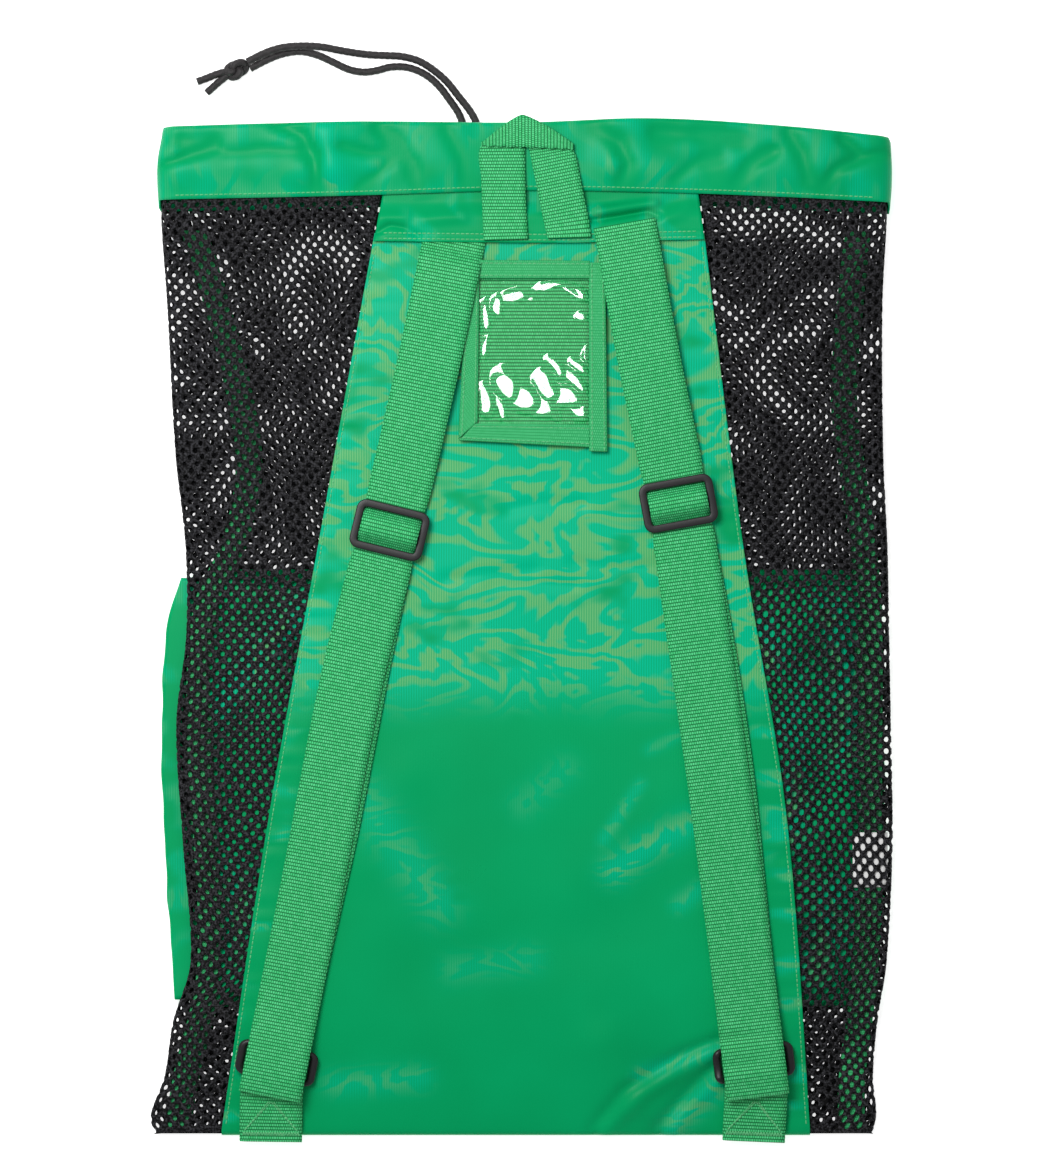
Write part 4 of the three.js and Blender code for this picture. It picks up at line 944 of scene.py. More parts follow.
def yoke_height(x, y):
    lift = YOKE_LIFT * (1 - smoothstep(y, *YOKE_LIFT_ENDS))
    lift += sum(fold_height(crease, x, y) for crease in YOKE_CREASES)
    lean_x, lean_y = YOKE_WRINKLE_LEAN
    wrinkle = YOKE_WRINKLE * ripple(x - lean_x * y, lean_y * y, YOKE_WRINKLE_PITCH, seed=5.0)
    wrinkle *= smoothstep(y, *YOKE_WRINKLE_STARTS)
    return back_height(x, y) + lift + wrinkle * (1 - smoothstep(y, *YOKE_WRINKLE_ENDS))


def yoke():
    def place(across, along):
        level = mix(YOKE_LOW, YOKE_HIGH, along)
        left = value_at(PANEL_EDGES, "left", level) + 2 * SEAM_GAP
        right = value_at(PANEL_EDGES, "right", level) - 2 * SEAM_GAP
        x = mix(left, right, across)
        low = value_at(YOKE_EDGE, "edge", x)
        y = mix(low, value_at(HEM_EDGES, "bottom", x) + YOKE_TUCK, along)
        dent = sum(math.exp(-((y - low - row) / DENT_WIDE) ** 2) for row in YOKE_ROWS)
        return Vector((x, y, yoke_height(x, y) - STITCH_DENT * dent))

    bm = cloth_grid(*YOKE_CELLS, *YOKE_SIZE, place)
    thicken(bm, NYLON)
    strip = finish_piece(bm, "yoke_cloth", NYLON_HEM, "nylon", "yoke")
    give_watered_and_sheen(strip, speckled)


# Hem: a sleeve round the mouth, two walls joined over the top, open below for the net
HEM_SECTION = [
    dict(at=0.0, out=2.0, up=0.0),
    dict(at=14.0, out=2.9, up=0.3),
    dict(at=39.0, out=3.0, up=0.93),
    dict(at=41.5, out=2.4, up=0.98),
    dict(at=43.5, out=0.0, up=0.99),
    dict(at=45.5, out=-2.4, up=0.98),
    dict(at=48.0, out=-3.0, up=0.93),
    dict(at=73.0, out=-2.9, up=0.3),
    dict(at=87.0, out=-2.0, up=0.0),
]
HEM_WAVES = [
    dict(x=-118, lean=0.55, height=1.6, width=20),
    dict(x=-80, lean=0.45, height=-1.4, width=18),
    dict(x=60, lean=-0.3, height=1.5, width=20),
    dict(x=118, lean=0.8, height=-1.5, width=22),
    dict(x=186, lean=-0.4, height=1.4, width=18),
]
HEM_WAVE_MIDDLE = HEM_LEVEL + 18
HEM_STATIONS = 330
HEM_SECTION_CELLS = 40
HEM_ROUND = 900.0
HEM_MERGE = 0.01
HEM_RIPPLE = 0.7
HEM_RIPPLE_PITCH = 15.0
HEM_RIPPLE_LEAN = (0.5, 0.3)
HEM_LOOSE_FROM = (HEM_LEVEL - 4, HEM_LEVEL + 14)
HEM_PUFF = 2.4
HEM_SINK = 0.2
HEM_SHEEN = 0.36
HEM_CREASE_SHEEN = 0.3
HEM_RIPPLE_SHEEN = 0.5
HEM_UNDER_LOOP = dict(x=6.0, near=31.0, far=50.0)
HEM_FRONT_HANG = 6.5
HEM_DRAWN_IN = dict(left=3.2, right=-0.8)
HEM_DRAWN_FROM = dict(near=180.0, far=221.0, up=0.45)
HEM_BACK_FROM = (-2.0, 2.0)
HEM_STITCH_UP = 2.4
# The slot in the front wall through which both cord ends leave
CORD_SLOT = dict(x=-31, half_wide=9, low=297, above_front=HEM_WALL + 1)


# Where the middle of the mouth's wall is, and which way is out, at a distance round it
def round_mouth(share):
    front = value_at(HEIGHTS, "front", HEM_LEVEL)
    curl = value_at(HEIGHTS, "curl", HEM_LEVEL)
    left = HEM_LEFT + HEM_WALL + curl
    right = HEM_RIGHT - HEM_WALL - curl
    straight = right - left
    turn = math.pi * curl
    distance = share * 2 * (straight + turn)
    if distance <= straight:
        return left + distance, front + 2 * curl, math.pi / 2
    distance -= straight
    if distance <= turn:
        angle = math.pi / 2 - distance / curl
        return right + curl * math.cos(angle), front + curl * (1 + math.sin(angle)), angle
    distance -= turn
    if distance <= straight:
        return right - distance, front, -math.pi / 2
    angle = -math.pi / 2 - (distance - straight) / curl
    return left + curl * math.cos(angle), front + curl * (1 + math.sin(angle)), angle


def hem_creases(x, y):
    return sum(fold_height(crease, x, y) for crease in HEM_CREASES)


def hem_ripple(x, y):
    lean_x, lean_y = HEM_RIPPLE_LEAN
    return ripple(x + lean_x * y, y - lean_y * x, HEM_RIPPLE_PITCH, seed=2.0)


# How far the hem's back wall lies off its plain section: loose over the cord, flat under the loop
def hem_relief(x, y):
    wave = HEM_PUFF
    for fold in HEM_WAVES:
        away = (x - fold["x"] - fold["lean"] * (y - HEM_WAVE_MIDDLE)) / fold["width"]
        wave += fold["height"] * math.exp(-away * away)
    loose = smoothstep(abs(x - HEM_UNDER_LOOP["x"]), HEM_UNDER_LOOP["near"], HEM_UNDER_LOOP["far"])
    relief = (wave + hem_creases(x, y) + HEM_RIPPLE * hem_ripple(x, y)) * loose
    return max(relief, -HEM_SINK) * smoothstep(y, *HEM_LOOSE_FROM)


# The hem's ridges get the lighter watered colours as painted sheen, and its creases the plain dye as
# painted shade
def hem_sheen_and_crease_shade(x, y):
    sheen = HEM_SHEEN + HEM_CREASE_SHEEN * hem_creases(x, y) + HEM_RIPPLE_SHEEN * hem_ripple(x, y)
    return min(max(sheen, 0.0), 1.0)


def drawcord_hem():
    front = value_at(HEIGHTS, "front", HEM_LEVEL)
    curl = value_at(HEIGHTS, "curl", HEM_LEVEL)
    length = HEM_SECTION[-1]["at"]

    def place(across, along):
        x, z, angle = round_mouth(across)
        out = value_at(HEM_SECTION, "out", along * length)
        up = value_at(HEM_SECTION, "up", along * length)
        x += out * math.cos(angle)
        z += out * math.sin(angle)
        on_front = 1 - smoothstep(z, front + HEM_WALL, front + 2 * curl - HEM_WALL)
        bottom = value_at(HEM_EDGES, "bottom", x) - on_front * HEM_FRONT_HANG
        top = value_at(HEM_EDGES, "top", x) - on_front * HEM_FRONT_DROP
        y = mix(bottom, top, up)
        from_middle = x - (HEM_LEFT + HEM_RIGHT) / 2
        drawn_in = HEM_DRAWN_IN["left" if from_middle < 0 else "right"]
        drawn_in *= (smoothstep(abs(from_middle), HEM_DRAWN_FROM["near"], HEM_DRAWN_FROM["far"])
                     * smoothstep(up, HEM_DRAWN_FROM["up"], 1.0))
        relief = (1 - on_front) * smoothstep(out, *HEM_BACK_FROM) * hem_relief(x, y)
        return Vector((x - math.copysign(drawn_in, from_middle), y, z + relief))

    def in_slot(spot):
        beside = abs(spot.x - CORD_SLOT["x"]) < CORD_SLOT["half_wide"]
        return beside and spot.y > CORD_SLOT["low"] and spot.z < front + CORD_SLOT["above_front"]

    bm = cloth_grid(HEM_STATIONS, HEM_SECTION_CELLS, HEM_ROUND, length, place)
    bmesh.ops.remove_doubles(bm, verts=bm.verts[:], dist=HEM_MERGE)
    slot = [face for face in bm.faces if in_slot(face.calc_center_median())]
    bmesh.ops.delete(bm, geom=slot, context="FACES")
    thicken(bm, NYLON)
    hem = finish_piece(bm, "hem_cloth", NYLON_HEM, "nylon", "drawcord_hem")
    give_watered_and_sheen(hem, hem_sheen_and_crease_shade)


# The wall between the bag and its pocket. Nothing pulls it flat: it billows up towards the back's
# net, and touches it nearly along its ridges, which also get painted sheen.
WALL_CLEAR = 1.6
WALL_RISE = 14.0
WALL_SHARE = 0.92
WALL_WAVE = 0.6
WALL_WAVE_PITCH = 34.0
WALL_LAP = 3.0
WALL_ABOVE_NET = 1.5
WALL_WIDE = 396.0
WALL_CELLS = (110, 72)
WALL_RIDGES = [
    dict(points=[(-179, -46), (-134, 12)], height=1.0, width=11),
    dict(points=[(144, -4), (158, -34), (160, -78), (158, -124)], height=1.0, width=13),
    dict(points=[(186, 12), (196, -30), (194, -72)], height=0.85, width=13),
    dict(points=[(-172, -150), (-164, -196)], height=0.8, width=14),
    dict(points=[(188, -160), (176, -206)], height=0.8, width=12),
]


def wall_ridge(x, y):
    return max(fold_height(fold, x, y) for fold in WALL_RIDGES)


def pocket_wall():
    low = POCKET_BOTTOM - WALL_LAP
    high = POCKET_TOP + WALL_LAP

    def place(across, along):
        y = mix(low, high, along)
        left = value_at(FRONT_SEAMS, "left", y) + SEAM_GAP
        right = value_at(FRONT_SEAMS, "right", y) - SEAM_GAP
        x = mix(left, right, across)
        front = value_at(HEIGHTS, "front", y) + WALL_ABOVE_NET
        room = back_height(x, y) - lap_drop(y) - WALL_CLEAR - front
        wave = WALL_SHARE + WALL_WAVE * ripple(x, y, WALL_WAVE_PITCH, seed=6.0)
        from_edge = min(x - left, right - x, y - low, high - y)
        share = min(max(wave, wall_ridge(x, y), 0.0), 1.0) * smoothstep(from_edge, 0.0, WALL_RISE)
        return Vector((x, y, front + room * share))

    bm = cloth_grid(*WALL_CELLS, WALL_WIDE, high - low, place)
    thicken(bm, NYLON)
    wall = finish_piece(bm, "pocket_wall_cloth", NYLON_HEM, "nylon", "front_panel")
    # Painted sheen: the ridges' heights raise the lighter watered colours along them
    give_watered_and_sheen(wall, wall_ridge)


# Outer wall of the pocket: flat on the floor, its sides fold back up to the seams
FLAP_RADIUS = 1.7
FLAP_SEAM = 4.0
POCKET_LIFT = 2.8
POCKET_LIFT_LONG = 22.0
POCKET_FROM = POCKET_TOP - 2
POCKET_TO = POCKET_BOTTOM + 1
POCKET_SIZE = (472.0, 254.0)
POCKET_ROWS = 90
FLAP_TIGHTER = 0.35
FLUTTER = 1.1
FLUTTER_PITCH = 19.0
FLAP_CELLS = 8
FLAP_TURN_CELLS = 10
FLOOR_CELLS = 24


def pocket_face():
    side_cells = FLAP_CELLS + FLAP_TURN_CELLS
    cells = 2 * side_cells + FLOOR_CELLS

    def place(across, along):
        y = mix(POCKET_FROM, POCKET_TO, along)
        rise = POCKET_LIFT * (1 - smoothstep(y, POCKET_BOTTOM, POCKET_BOTTOM + POCKET_LIFT_LONG))
        radius = FLAP_RADIUS - FLAP_TIGHTER * rise
        low = NYLON / 2 + rise
        column = round(across * cells)
        side, sign = ("left", -1) if column <= cells / 2 else ("right", 1)
        from_seam = min(column, cells - column)
        fold = value_at(POCKET_EDGES, side, y) - sign * (NYLON / 2 + radius)
        seam = value_at(FRONT_SEAMS, side, y) - sign * FLAP_SEAM
        seam_height = value_at(HEIGHTS, "front", y) - NYLON - LAP_GAP
        if from_seam <= FLAP_CELLS:
            t = from_seam / FLAP_CELLS
            return Vector((mix(seam, fold, t), y, mix(seam_height, low + 2 * radius, t)))
        if from_seam <= side_cells:
            angle = math.pi * (from_seam - FLAP_CELLS) / FLAP_TURN_CELLS
            flutter = FLUTTER * ripple(0.0, y, FLUTTER_PITCH, seed=12.0)
            x = fold + sign * (radius + flutter) * math.sin(angle)
            return Vector((x, y, low + radius * (1 + math.cos(angle))))
        left = value_at(POCKET_EDGES, "left", y) + NYLON / 2 + radius
        right = value_at(POCKET_EDGES, "right", y) - NYLON / 2 - radius
        return Vector((mix(left, right, (column - side_cells) / FLOOR_CELLS), y, low))

    bm = cloth_grid(cells, POCKET_ROWS, *POCKET_SIZE, place)
    thicken(bm, NYLON)
    face = finish_piece(bm, "pocket_cloth", NYLON_HEM, "nylon", "pocket_face")
    give_watered_and_sheen(face, speckled)


# Tape over a long front seam, on the inside. It sinks at its lower end, where the bag is flat.
TAPE_THICK = 1.2
TAPE_TOP = 240.0
TAPE_BOTTOM = -302.0
TAPE_LIFT = (-0.5, 1.0)
TAPE_LIFT_FROM = (TAPE_BOTTOM + 8, TAPE_BOTTOM + 32)
TAPE_CELLS = (4, 120)


def seam_tape(side):
    above = NET / 2 + LAP_GAP + TAPE_THICK / 2

    def place(across, along):
        y = mix(TAPE_BOTTOM, TAPE_TOP, along)
        x = value_at(FRONT_SEAMS, side, y) + (across - 0.5) * TAPE_WIDE
        lift = mix(*TAPE_LIFT, smoothstep(y, *TAPE_LIFT_FROM))
        return Vector((x, y, value_at(HEIGHTS, "front", y) + above + lift))

    bm = cloth_grid(*TAPE_CELLS, TAPE_WIDE, TAPE_TOP - TAPE_BOTTOM, place)
    thicken(bm, TAPE_THICK)
    tape = finish_piece(bm, "seam_binding_" + side, BINDING, "webbing", "seam_tape_" + side)


# Knitted net: holes in staggered rows. It is laid out flat, across by along, with a border where
# limits(along) says, then put in place. The lay's open shares say how far its holes are pulled
# open below and above the pocket's top.
NET_CLOTH = 0.8
NET_HALF_PITCH = (3.65, 3.8)
NET_HOLE = (1.47, 1.74)
# Off centre, so that at a side fold the strands of one layer lie over the holes of the other
NET_SHIFT = NET_HALF_PITCH[0] / 2
NET_STRAND_RISE = 0.16
NET_HOLE_SPREAD = 0.16
NET_HOLE_SPREAD_PITCH = 5.0
NET_OPEN_FROM = (0.0, 80.0)
NET_RIM = 0.4
NET_MARGIN = 10
NET_SAMPLES = 20
NET_WANDER = 5.5
NET_WANDER_PITCH = 62.0
NET_WANDER_FADE = 18.0
NET_SEED_STEP = 50.0


def net_piece(name, node, low, high, limits, lay, place):
    levels = [mix(low, high, i / NET_SAMPLES) for i in range(NET_SAMPLES + 1)]
    widest = max(abs(edge) for level in levels for edge in limits(level))
    centre = (low + high) / 2
    reach = math.hypot(widest, (high - low) / 2) + NET_MARGIN
    cells = 2 * math.ceil(reach / min(NET_HALF_PITCH))
    step_x, step_y = NET_HALF_PITCH
    lattice = Matrix(((step_x, -step_x, 0, 0), (step_y, step_y, 0, 0), (0, 0, 1, 0), (0, 0, 0, 1)))
    moved = Matrix.Translation((NET_SHIFT, centre, 0)) @ Matrix.Rotation(lay["turn"], 4, "Z") @ lattice
    bm = bmesh.new()
    bmesh.ops.create_grid(bm, x_segments=cells, y_segments=cells, size=cells / 2, matrix=moved)

    def inside(spot):
        if not low < spot.y < high:
            return False
        from_edge, to_edge = limits(spot.y)
        return from_edge < spot.x < to_edge

    def wandered(spot):
        from_edge, to_edge = limits(spot.y)
        from_border = min(spot.x - from_edge, to_edge - spot.x, spot.y - low, high - spot.y)
        give = NET_WANDER * smoothstep(from_border, 0.0, NET_WANDER_FADE)
        return (spot.x + give * ripple(spot.x, spot.y, NET_WANDER_PITCH, lay["seed"]),
                spot.y + give * ripple(spot.y, spot.x, NET_WANDER_PITCH, lay["seed"] + NET_SEED_STEP))

    kept = {vert for vert in bm.verts if inside(vert.co)}
    outside = [face for face in bm.faces if not any(vert in kept for vert in face.verts)]
    bmesh.ops.delete(bm, geom=outside, context="FACES")
    holes = [face for face in bm.faces if all(vert in kept for vert in face.verts)]
    for vert in bm.verts:
        if vert not in kept:
            vert.co.y = min(max(vert.co.y, low), high)
            from_edge, to_edge = limits(vert.co.y)
            vert.co.x = min(max(vert.co.x, from_edge), to_edge)
    edges = list({edge for face in holes for edge in face.edges})
    bmesh.ops.bisect_edges(bm, edges=edges, cuts=1)
    bmesh.ops.inset_individual(bm, faces=holes, thickness=NET_RIM)
    rims = set()
    for face in holes:
        middle = face.calc_center_median()
        opened = mix(*lay["open"], smoothstep(middle.y, *NET_OPEN_FROM))
        spread = ripple(middle.x, middle.y, NET_HOLE_SPREAD_PITCH, seed=4.0)
        size = opened * (1 + NET_HOLE_SPREAD * spread)
        for vert in face.verts:
            angle = math.atan2(vert.co.y - middle.y, vert.co.x - middle.x)
            vert.co.x = middle.x + size * NET_HOLE[0] * math.cos(angle)
            vert.co.y = middle.y + size * NET_HOLE[1] * math.sin(angle)
            rims.add(vert)
    strands = [vert for vert in bm.verts if vert not in rims]
    bmesh.ops.delete(bm, geom=holes, context="FACES_ONLY")
    for vert in bm.verts:
        vert.co = place(*wandered(vert.co))
    bmesh.ops.recalc_face_normals(bm, faces=bm.faces[:])
    bm.normal_update()
    for vert in strands:
        vert.co += vert.normal * NET_STRAND_RISE
    thicken(bm, NET_CLOTH)
    net = finish_piece(bm, name, NET_BLACK, "net", node)


# Side net: from under the panel's edge, round the side fold, to the front seam. Its flat width is
# measured from the fold, inwards over the back as positive and over the front as negative.
SIDE_LAP = 8.0
SIDE_LAP_ENDS = (224.0, 240.0)
NET_RIPPLE = 0.8
NET_RIPPLE_PITCH = 30.0
NET_FREE_FROM_PANEL = (2.0, 16.0)
NET_FREE_FROM_FOLD = (0.0, 10.0)
SIDE_LAY = dict(left=dict(turn=0.06, seed=31.0, open=(0.95, 0.97)),
                right=dict(turn=-0.05, seed=44.0, open=(1.14, 0.97)))
NET_FOLDS = [
    dict(points=[(207, 231), (188, 193), (170, 154)], height=1.6, width=4.0, pull=0.6),
    dict(points=[(-176, 226), (-170, 190), (-158, 160)], height=1.2, width=4.5, pull=0.5),
    dict(points=[(-160, -150), (-186, -196)], height=1.0, width=4.5, pull=0.45),
    dict(points=[(188, -190), (196, -240)], height=1.0, width=4.5, pull=0.45),
]


# The net is gathered along its folds
def gathered(x, y):
    for fold in NET_FOLDS:
        square, away_x, away_y = away_from(fold["points"], x, y)
        pull = fold["pull"] * math.exp(-square / fold["width"] ** 2)
        x -= pull * away_x
        y -= pull * away_y
    return x, y


def side_net(side):
    sign = -1 if side == "left" else 1

    def fold_line(y):
        curl = value_at(HEIGHTS, "curl", y)
        return value_at(OUTLINE, side, y) - sign * (NET / 2 + curl), curl

    def limits(y):
        centre, curl = fold_line(y)
        lap = mix(SIDE_LAP, -2 * SEAM_GAP, smoothstep(y, *SIDE_LAP_ENDS))
        inner = value_at(PANEL_EDGES, side, y) - sign * lap
        seam = value_at(FRONT_SEAMS, side, y) + sign * SEAM_GAP
        half_turn = math.pi * curl / 2
        return -abs(centre - seam) - half_turn, abs(centre - inner) + half_turn

    def place(across, y):
        centre, curl = fold_line(y)
        front = value_at(HEIGHTS, "front", y)
        flat = abs(across) - math.pi * curl / 2
        if flat <= 0:
            angle = across / curl
            return Vector((centre + sign * curl * math.cos(angle), y, front + curl * (1 + math.sin(angle))))
        x = centre - sign * flat
        if across < 0:
            return Vector((x, y, front))
        from_panel = sign * (x - value_at(PANEL_EDGES, side, y))
        loose = smoothstep(from_panel, *NET_FREE_FROM_PANEL) * smoothstep(flat, *NET_FREE_FROM_FOLD)
        x, y = gathered(x, y)
        wave = NET_RIPPLE * ripple(x, y, NET_RIPPLE_PITCH, seed=7.0)
        wave += sum(fold_height(fold, x, y) for fold in NET_FOLDS)
        return Vector((x, y, back_height(x, y) - lap_drop(y) + wave * loose))

    net_piece("side_net_" + side, "side_mesh_" + side, NET_BOTTOM, NET_TOP, limits, SIDE_LAY[side], place)


# Front net between the long seams, turned a little against the side nets, as it was cut
FRONT_LAY = dict(turn=0.1, seed=58.0, open=(1.0, 1.0))
FRONT_LOWER_LAY = dict(turn=0.1, seed=58.0, open=(0.74, 0.74))
FRONT_GAP = 0.3


def front_net(name, node, low, high, lay):
    def limits(y):
        return value_at(FRONT_SEAMS, "left", y) + SEAM_GAP, value_at(FRONT_SEAMS, "right", y) - SEAM_GAP

    def place(x, y):
        return Vector((x, y, value_at(HEIGHTS, "front", y)))

    net_piece(name, node, low, high, limits, lay, place)


back_panel()
yoke()
drawcord_hem()
pocket_wall()
pocket_face()
for side in ("left", "right"):
    seam_tape(side)
    side_net(side)
front_net("front_net_upper", "front_mesh_upper", POCKET_TOP + FRONT_GAP, NET_TOP, FRONT_LAY)
front_net("front_net_lower", "front_mesh_lower", NET_BOTTOM, POCKET_BOTTOM - FRONT_GAP, FRONT_LOWER_LAY)

# Webbing: a strip through rows of its two edges, ribbed across, slightly domed
RIB_RISE = 0.13
RIB_STEP = RIB / 2
WEB_CELLS = 8
WEB_DOME = 0.2
WEB_DOME_POWER = 3
EDGE_LOOP = 0.15
EDGE_LOOP_POWER = 8


def webbing_strip(rows, wide, thick):
    last = len(rows) - 1
    length = sum(((b[0] + b[1] - a[0] - a[1]) / 2).length for a, b in zip(rows, rows[1:]))
    normals = []
    for i, (start, end) in enumerate(rows):
        before = rows[max(i - 1, 0)]
        after = rows[min(i + 1, last)]
        way = (after[0] + after[1] - before[0] - before[1]) / 2
        normals.append((end - start).cross(way).normalized())

    def place(across, along):
        row = round(along * last)
        start, end = rows[row]
        rib = RIB_RISE if row % 2 else -RIB_RISE
        from_middle = 2 * across - 1
        side = (end - start).normalized() * from_middle
        loop = EDGE_LOOP * (row % 2) * abs(from_middle) ** EDGE_LOOP_POWER
        rise = rib - WEB_DOME * abs(from_middle) ** WEB_DOME_POWER
        return start.lerp(end, across) + normals[row] * rise + side * loop

    bm = cloth_grid(WEB_CELLS, last, wide, length, place)
    thicken(bm, thick)
    return bm


# Shoulder straps: centre lines in plan, from the yoke to the fold through the ring
STRAPS = [
    dict(side="left", slider_y=59.7, start=(1.7, 1.8),
         line=[(-39.5, 237.5), (-58, 149), (-79, 59.7), (-101, -27), (-126, -156), (-151, -280)],
         tab=[(-148.2, -266.3), (-149.6, -273), (-150.4, -284), (-150.7, -296), (-150.9, -310)]),
    dict(side="right", slider_y=75.6, start=(4.9, 5.6),
         line=[(61.7, 243.5), (76, 164), (94, 75.6), (102.6, 19), (121, -112), (142, -280)],
         tab=[(140.3, -266.1), (140.9, -273), (140.8, -284), (140.2, -296), (139.6, -310)]),
]
STRAP_BACK_SHIFT = 3.0
STRAP_STEP = 0.25
STRAP_REACH = 0.5
STRAP_UNDER_YOKE = (0, 9)

# The strap's way: down from the yoke, over the slider's bar, through the ring, and back up under
# itself to the slider. Each row has a mark, the distance from it, the height above the panel and the
# share of the shift to the side, by which the lower layer shows past the upper one.
STRAP_WAY = [
    ("yoke", 18, 6.2, 0), ("yoke", 32, 6.4, 0), ("yoke", 62, 6.4, 0), ("yoke", 95, 6.2, 0),
    ("yoke", 125, 5.2, 0),
    ("slider", -24, 3.6, 0), ("slider", -15.5, 3.5, 0), ("slider", -10.6, 3.5, 0), ("slider", -7.6, 6.0, 0),
    ("slider", -4.8, 9.2, 0), ("slider", -2, 10.8, 0), ("slider", 2, 10.8, 0), ("slider", 4.8, 9.2, 0),
    ("slider", 7.6, 6.0, 0), ("slider", 10.6, 3.5, 0), ("slider", 15.5, 3.5, 0), ("slider", 24, 3.7, 0),
    ("slider", 60, 3.9, 0), ("slider", 100, 3.9, 0), ("slider", 140, 3.9, 0), ("slider", 180, 3.9, 0),
    ("slider", 220, 3.9, 0),
    ("ring", -72, 4.0, 0), ("ring", -52, 5.0, 0), ("ring", -36, 7.8, 0), ("ring", -24, 9.9, 0),
    ("ring", -12, 11.6, 0), ("ring", -4, 11.6, 0), ("ring", -1.2, 11.3, 0), ("ring", 0, 10.35, 0),
    ("ring", -1.2, 9.4, 0), ("ring", -4, 9.1, 0), ("ring", -12, 9.1, 0), ("ring", -16.2, 8.7, 0),
    ("ring", -19.8, 6.5, 0), ("ring", -23.4, 3.5, 0), ("ring", -27, 1.9, 0), ("ring", -31, 1.75, 0),
    ("ring", -44, 1.8, 0), ("ring", -58, 1.8, 0), ("ring", -72, 1.75, 0),
    ("slider", 220, 1.65, 0.5), ("slider", 180, 1.65, 0.9), ("slider", 140, 1.65, 1),
    ("slider", 100, 1.65, 0.9), ("slider", 60, 1.65, 0.5), ("slider", 24, 1.65, 0), ("slider", 12, 1.8, 0),
    ("slider", 6, 2.7, 0), ("slider", 2, 3.45, 0), ("slider", -2.2, 3.45, 0), ("slider", -3.2, 4.3, 0),
    ("slider", -3.3, 6.2, 0), ("slider", -3.2, 8.1, 0), ("slider", -2.2, 8.95, 0), ("slider", 2.4, 8.95, 0),
]

# The tab's way round the ring's lower bar, measured from the strap's fold. Its line starts at the
# bar, in the strap's direction, and ends upright.
TAB_LOOP = 14.0
TAB_WAY = [
    ("ring", 18.5, 1.9, 0), ("ring", 6, 1.8, 0), ("ring", -6, 1.75, 0), ("ring", -11, 1.75, 0),
    ("ring", -13.2, 2.6, 0), ("ring", -14, 4.5, 0), ("ring", -13.2, 6.4, 0), ("ring", -11, 7.2, 0),
    ("ring", -6, 6.8, 0), ("ring", 6, 4.4, 0), ("ring", 17, 3.7, 0), ("ring", 28, 2.4, 0),
]
SLIDER = dict(wide=44.8, long=30.0, thick=3.2, bar=4.6, middle_bar=4.0, corner=6.0, corner_steps=5,
              above=4.6, soft=0.7, soft_steps=3)
SLIDER_BITE = 0.4
SHARP_ANGLE = 1.0
SQUEEZE = 1.2
SQUEEZE_LONG = 19.0
SQUEEZE_POWER = 4
RING = dict(wide=47.0, long=21.7, bar=3.2, flat=0.9, corner=4.0, from_fold=-20.2, above=4.5)
RING_STEPS = 6
RING_SIDES = 14


def strap_spot(route, along):
    length = route[-1]["at"]
    inside = min(max(along, 0.0), length)
    before = route_point(route, max(inside - STRAP_REACH, 0.0))
    after = route_point(route, min(inside + STRAP_REACH, length))
    way = (after - before).normalized()
    return route_point(route, inside) + way * (along - inside), way


def beside_strap(route, along, across, above, shift):
    middle, way = strap_spot(route, along)
    return on_panel(middle.x - way.y * across + shift, middle.y + way.x * across, above)


# Rows of a strip, one for each half rib, along a way given as rows from marks
def way_rows(route, marks, way, half):
    table = []
    distance = 0.0
    for i, (mark, from_mark, above, shift) in enumerate(way):
        along = marks[mark] + from_mark
        if i:
            distance += math.hypot(along - table[-1]["along"], above - table[-1]["above"])
        table.append(dict(at=distance, along=along, above=above, shift=shift * STRAP_BACK_SHIFT))
    count = round(distance / RIB_STEP)
    rows = []
    for i in range(count + 1):
        at = distance * i / count
        along, above, shift = [value_at(table, column, at) for column in ("along", "above", "shift")]
        squeeze = SQUEEZE * math.exp(-((along - marks["slider"]) / SQUEEZE_LONG) ** SQUEEZE_POWER)
        edges = (half - squeeze, squeeze - half)
        rows.append([beside_strap(route, along, across, above, shift) for across in edges])
    return rows, distance


# Three-bar slider: a rounded plate with its middle cut out, a bar across, all edges softened
def strap_slider(side, middle, way):
    bm = bmesh.new()
    size = Matrix.Diagonal((SLIDER["wide"], SLIDER["long"], 1, 1))
    bmesh.ops.create_grid(bm, x_segments=1, y_segments=1, size=0.5, matrix=size)
    bmesh.ops.bevel(bm, geom=bm.verts[:], offset=SLIDER["corner"], affect="VERTICES",
                    segments=SLIDER["corner_steps"], profile=0.5, material=-1)
    plate = bm.faces[:]
    bmesh.ops.inset_individual(bm, faces=plate, thickness=SLIDER["bar"])
    bmesh.ops.delete(bm, geom=plate, context="FACES_ONLY")
    bmesh.ops.translate(bm, verts=bm.verts, vec=(0, 0, SLIDER["thick"]))
    bmesh.ops.solidify(bm, geom=bm.faces[:], thickness=SLIDER["thick"])
    inner = SLIDER["wide"] - 2 * SLIDER["bar"] + SLIDER_BITE
    bar_size = Matrix.Diagonal((inner, SLIDER["middle_bar"], SLIDER["thick"] - SLIDER_BITE, 1))
    bar = Matrix.Translation((0, 0, SLIDER["thick"] / 2)) @ bar_size
    bmesh.ops.create_cube(bm, size=1, matrix=bar)
    sharp = [edge for edge in bm.edges if edge.calc_face_angle(0.0) > SHARP_ANGLE]
    bmesh.ops.bevel(bm, geom=sharp, offset=SLIDER["soft"], affect="EDGES",
                    segments=SLIDER["soft_steps"], profile=0.5, material=-1, clamp_overlap=True)
    turn = Matrix.Rotation(math.atan2(way.y, way.x) + math.pi / 2, 4, "Z")
    spot = on_panel(middle.x, middle.y, SLIDER["above"])
    bmesh.ops.transform(bm, matrix=Matrix.Translation(spot) @ turn, verts=bm.verts)
    finish_piece(bm, "strap_slider_" + side, PLASTIC, "plastic", "slider_" + side)


# Ring: a bar bent to a rectangle, flatter and wider at its ends, which stand past the strap
def ring_ends(turn, row):
    corner, step = divmod(row, RING_STEPS + 1)
    at_end = math.cos(math.pi / 2 * (corner + step / RING_STEPS)) ** 2
    return RING["flat"] * at_end * math.cos(2 * math.pi * turn) ** 2


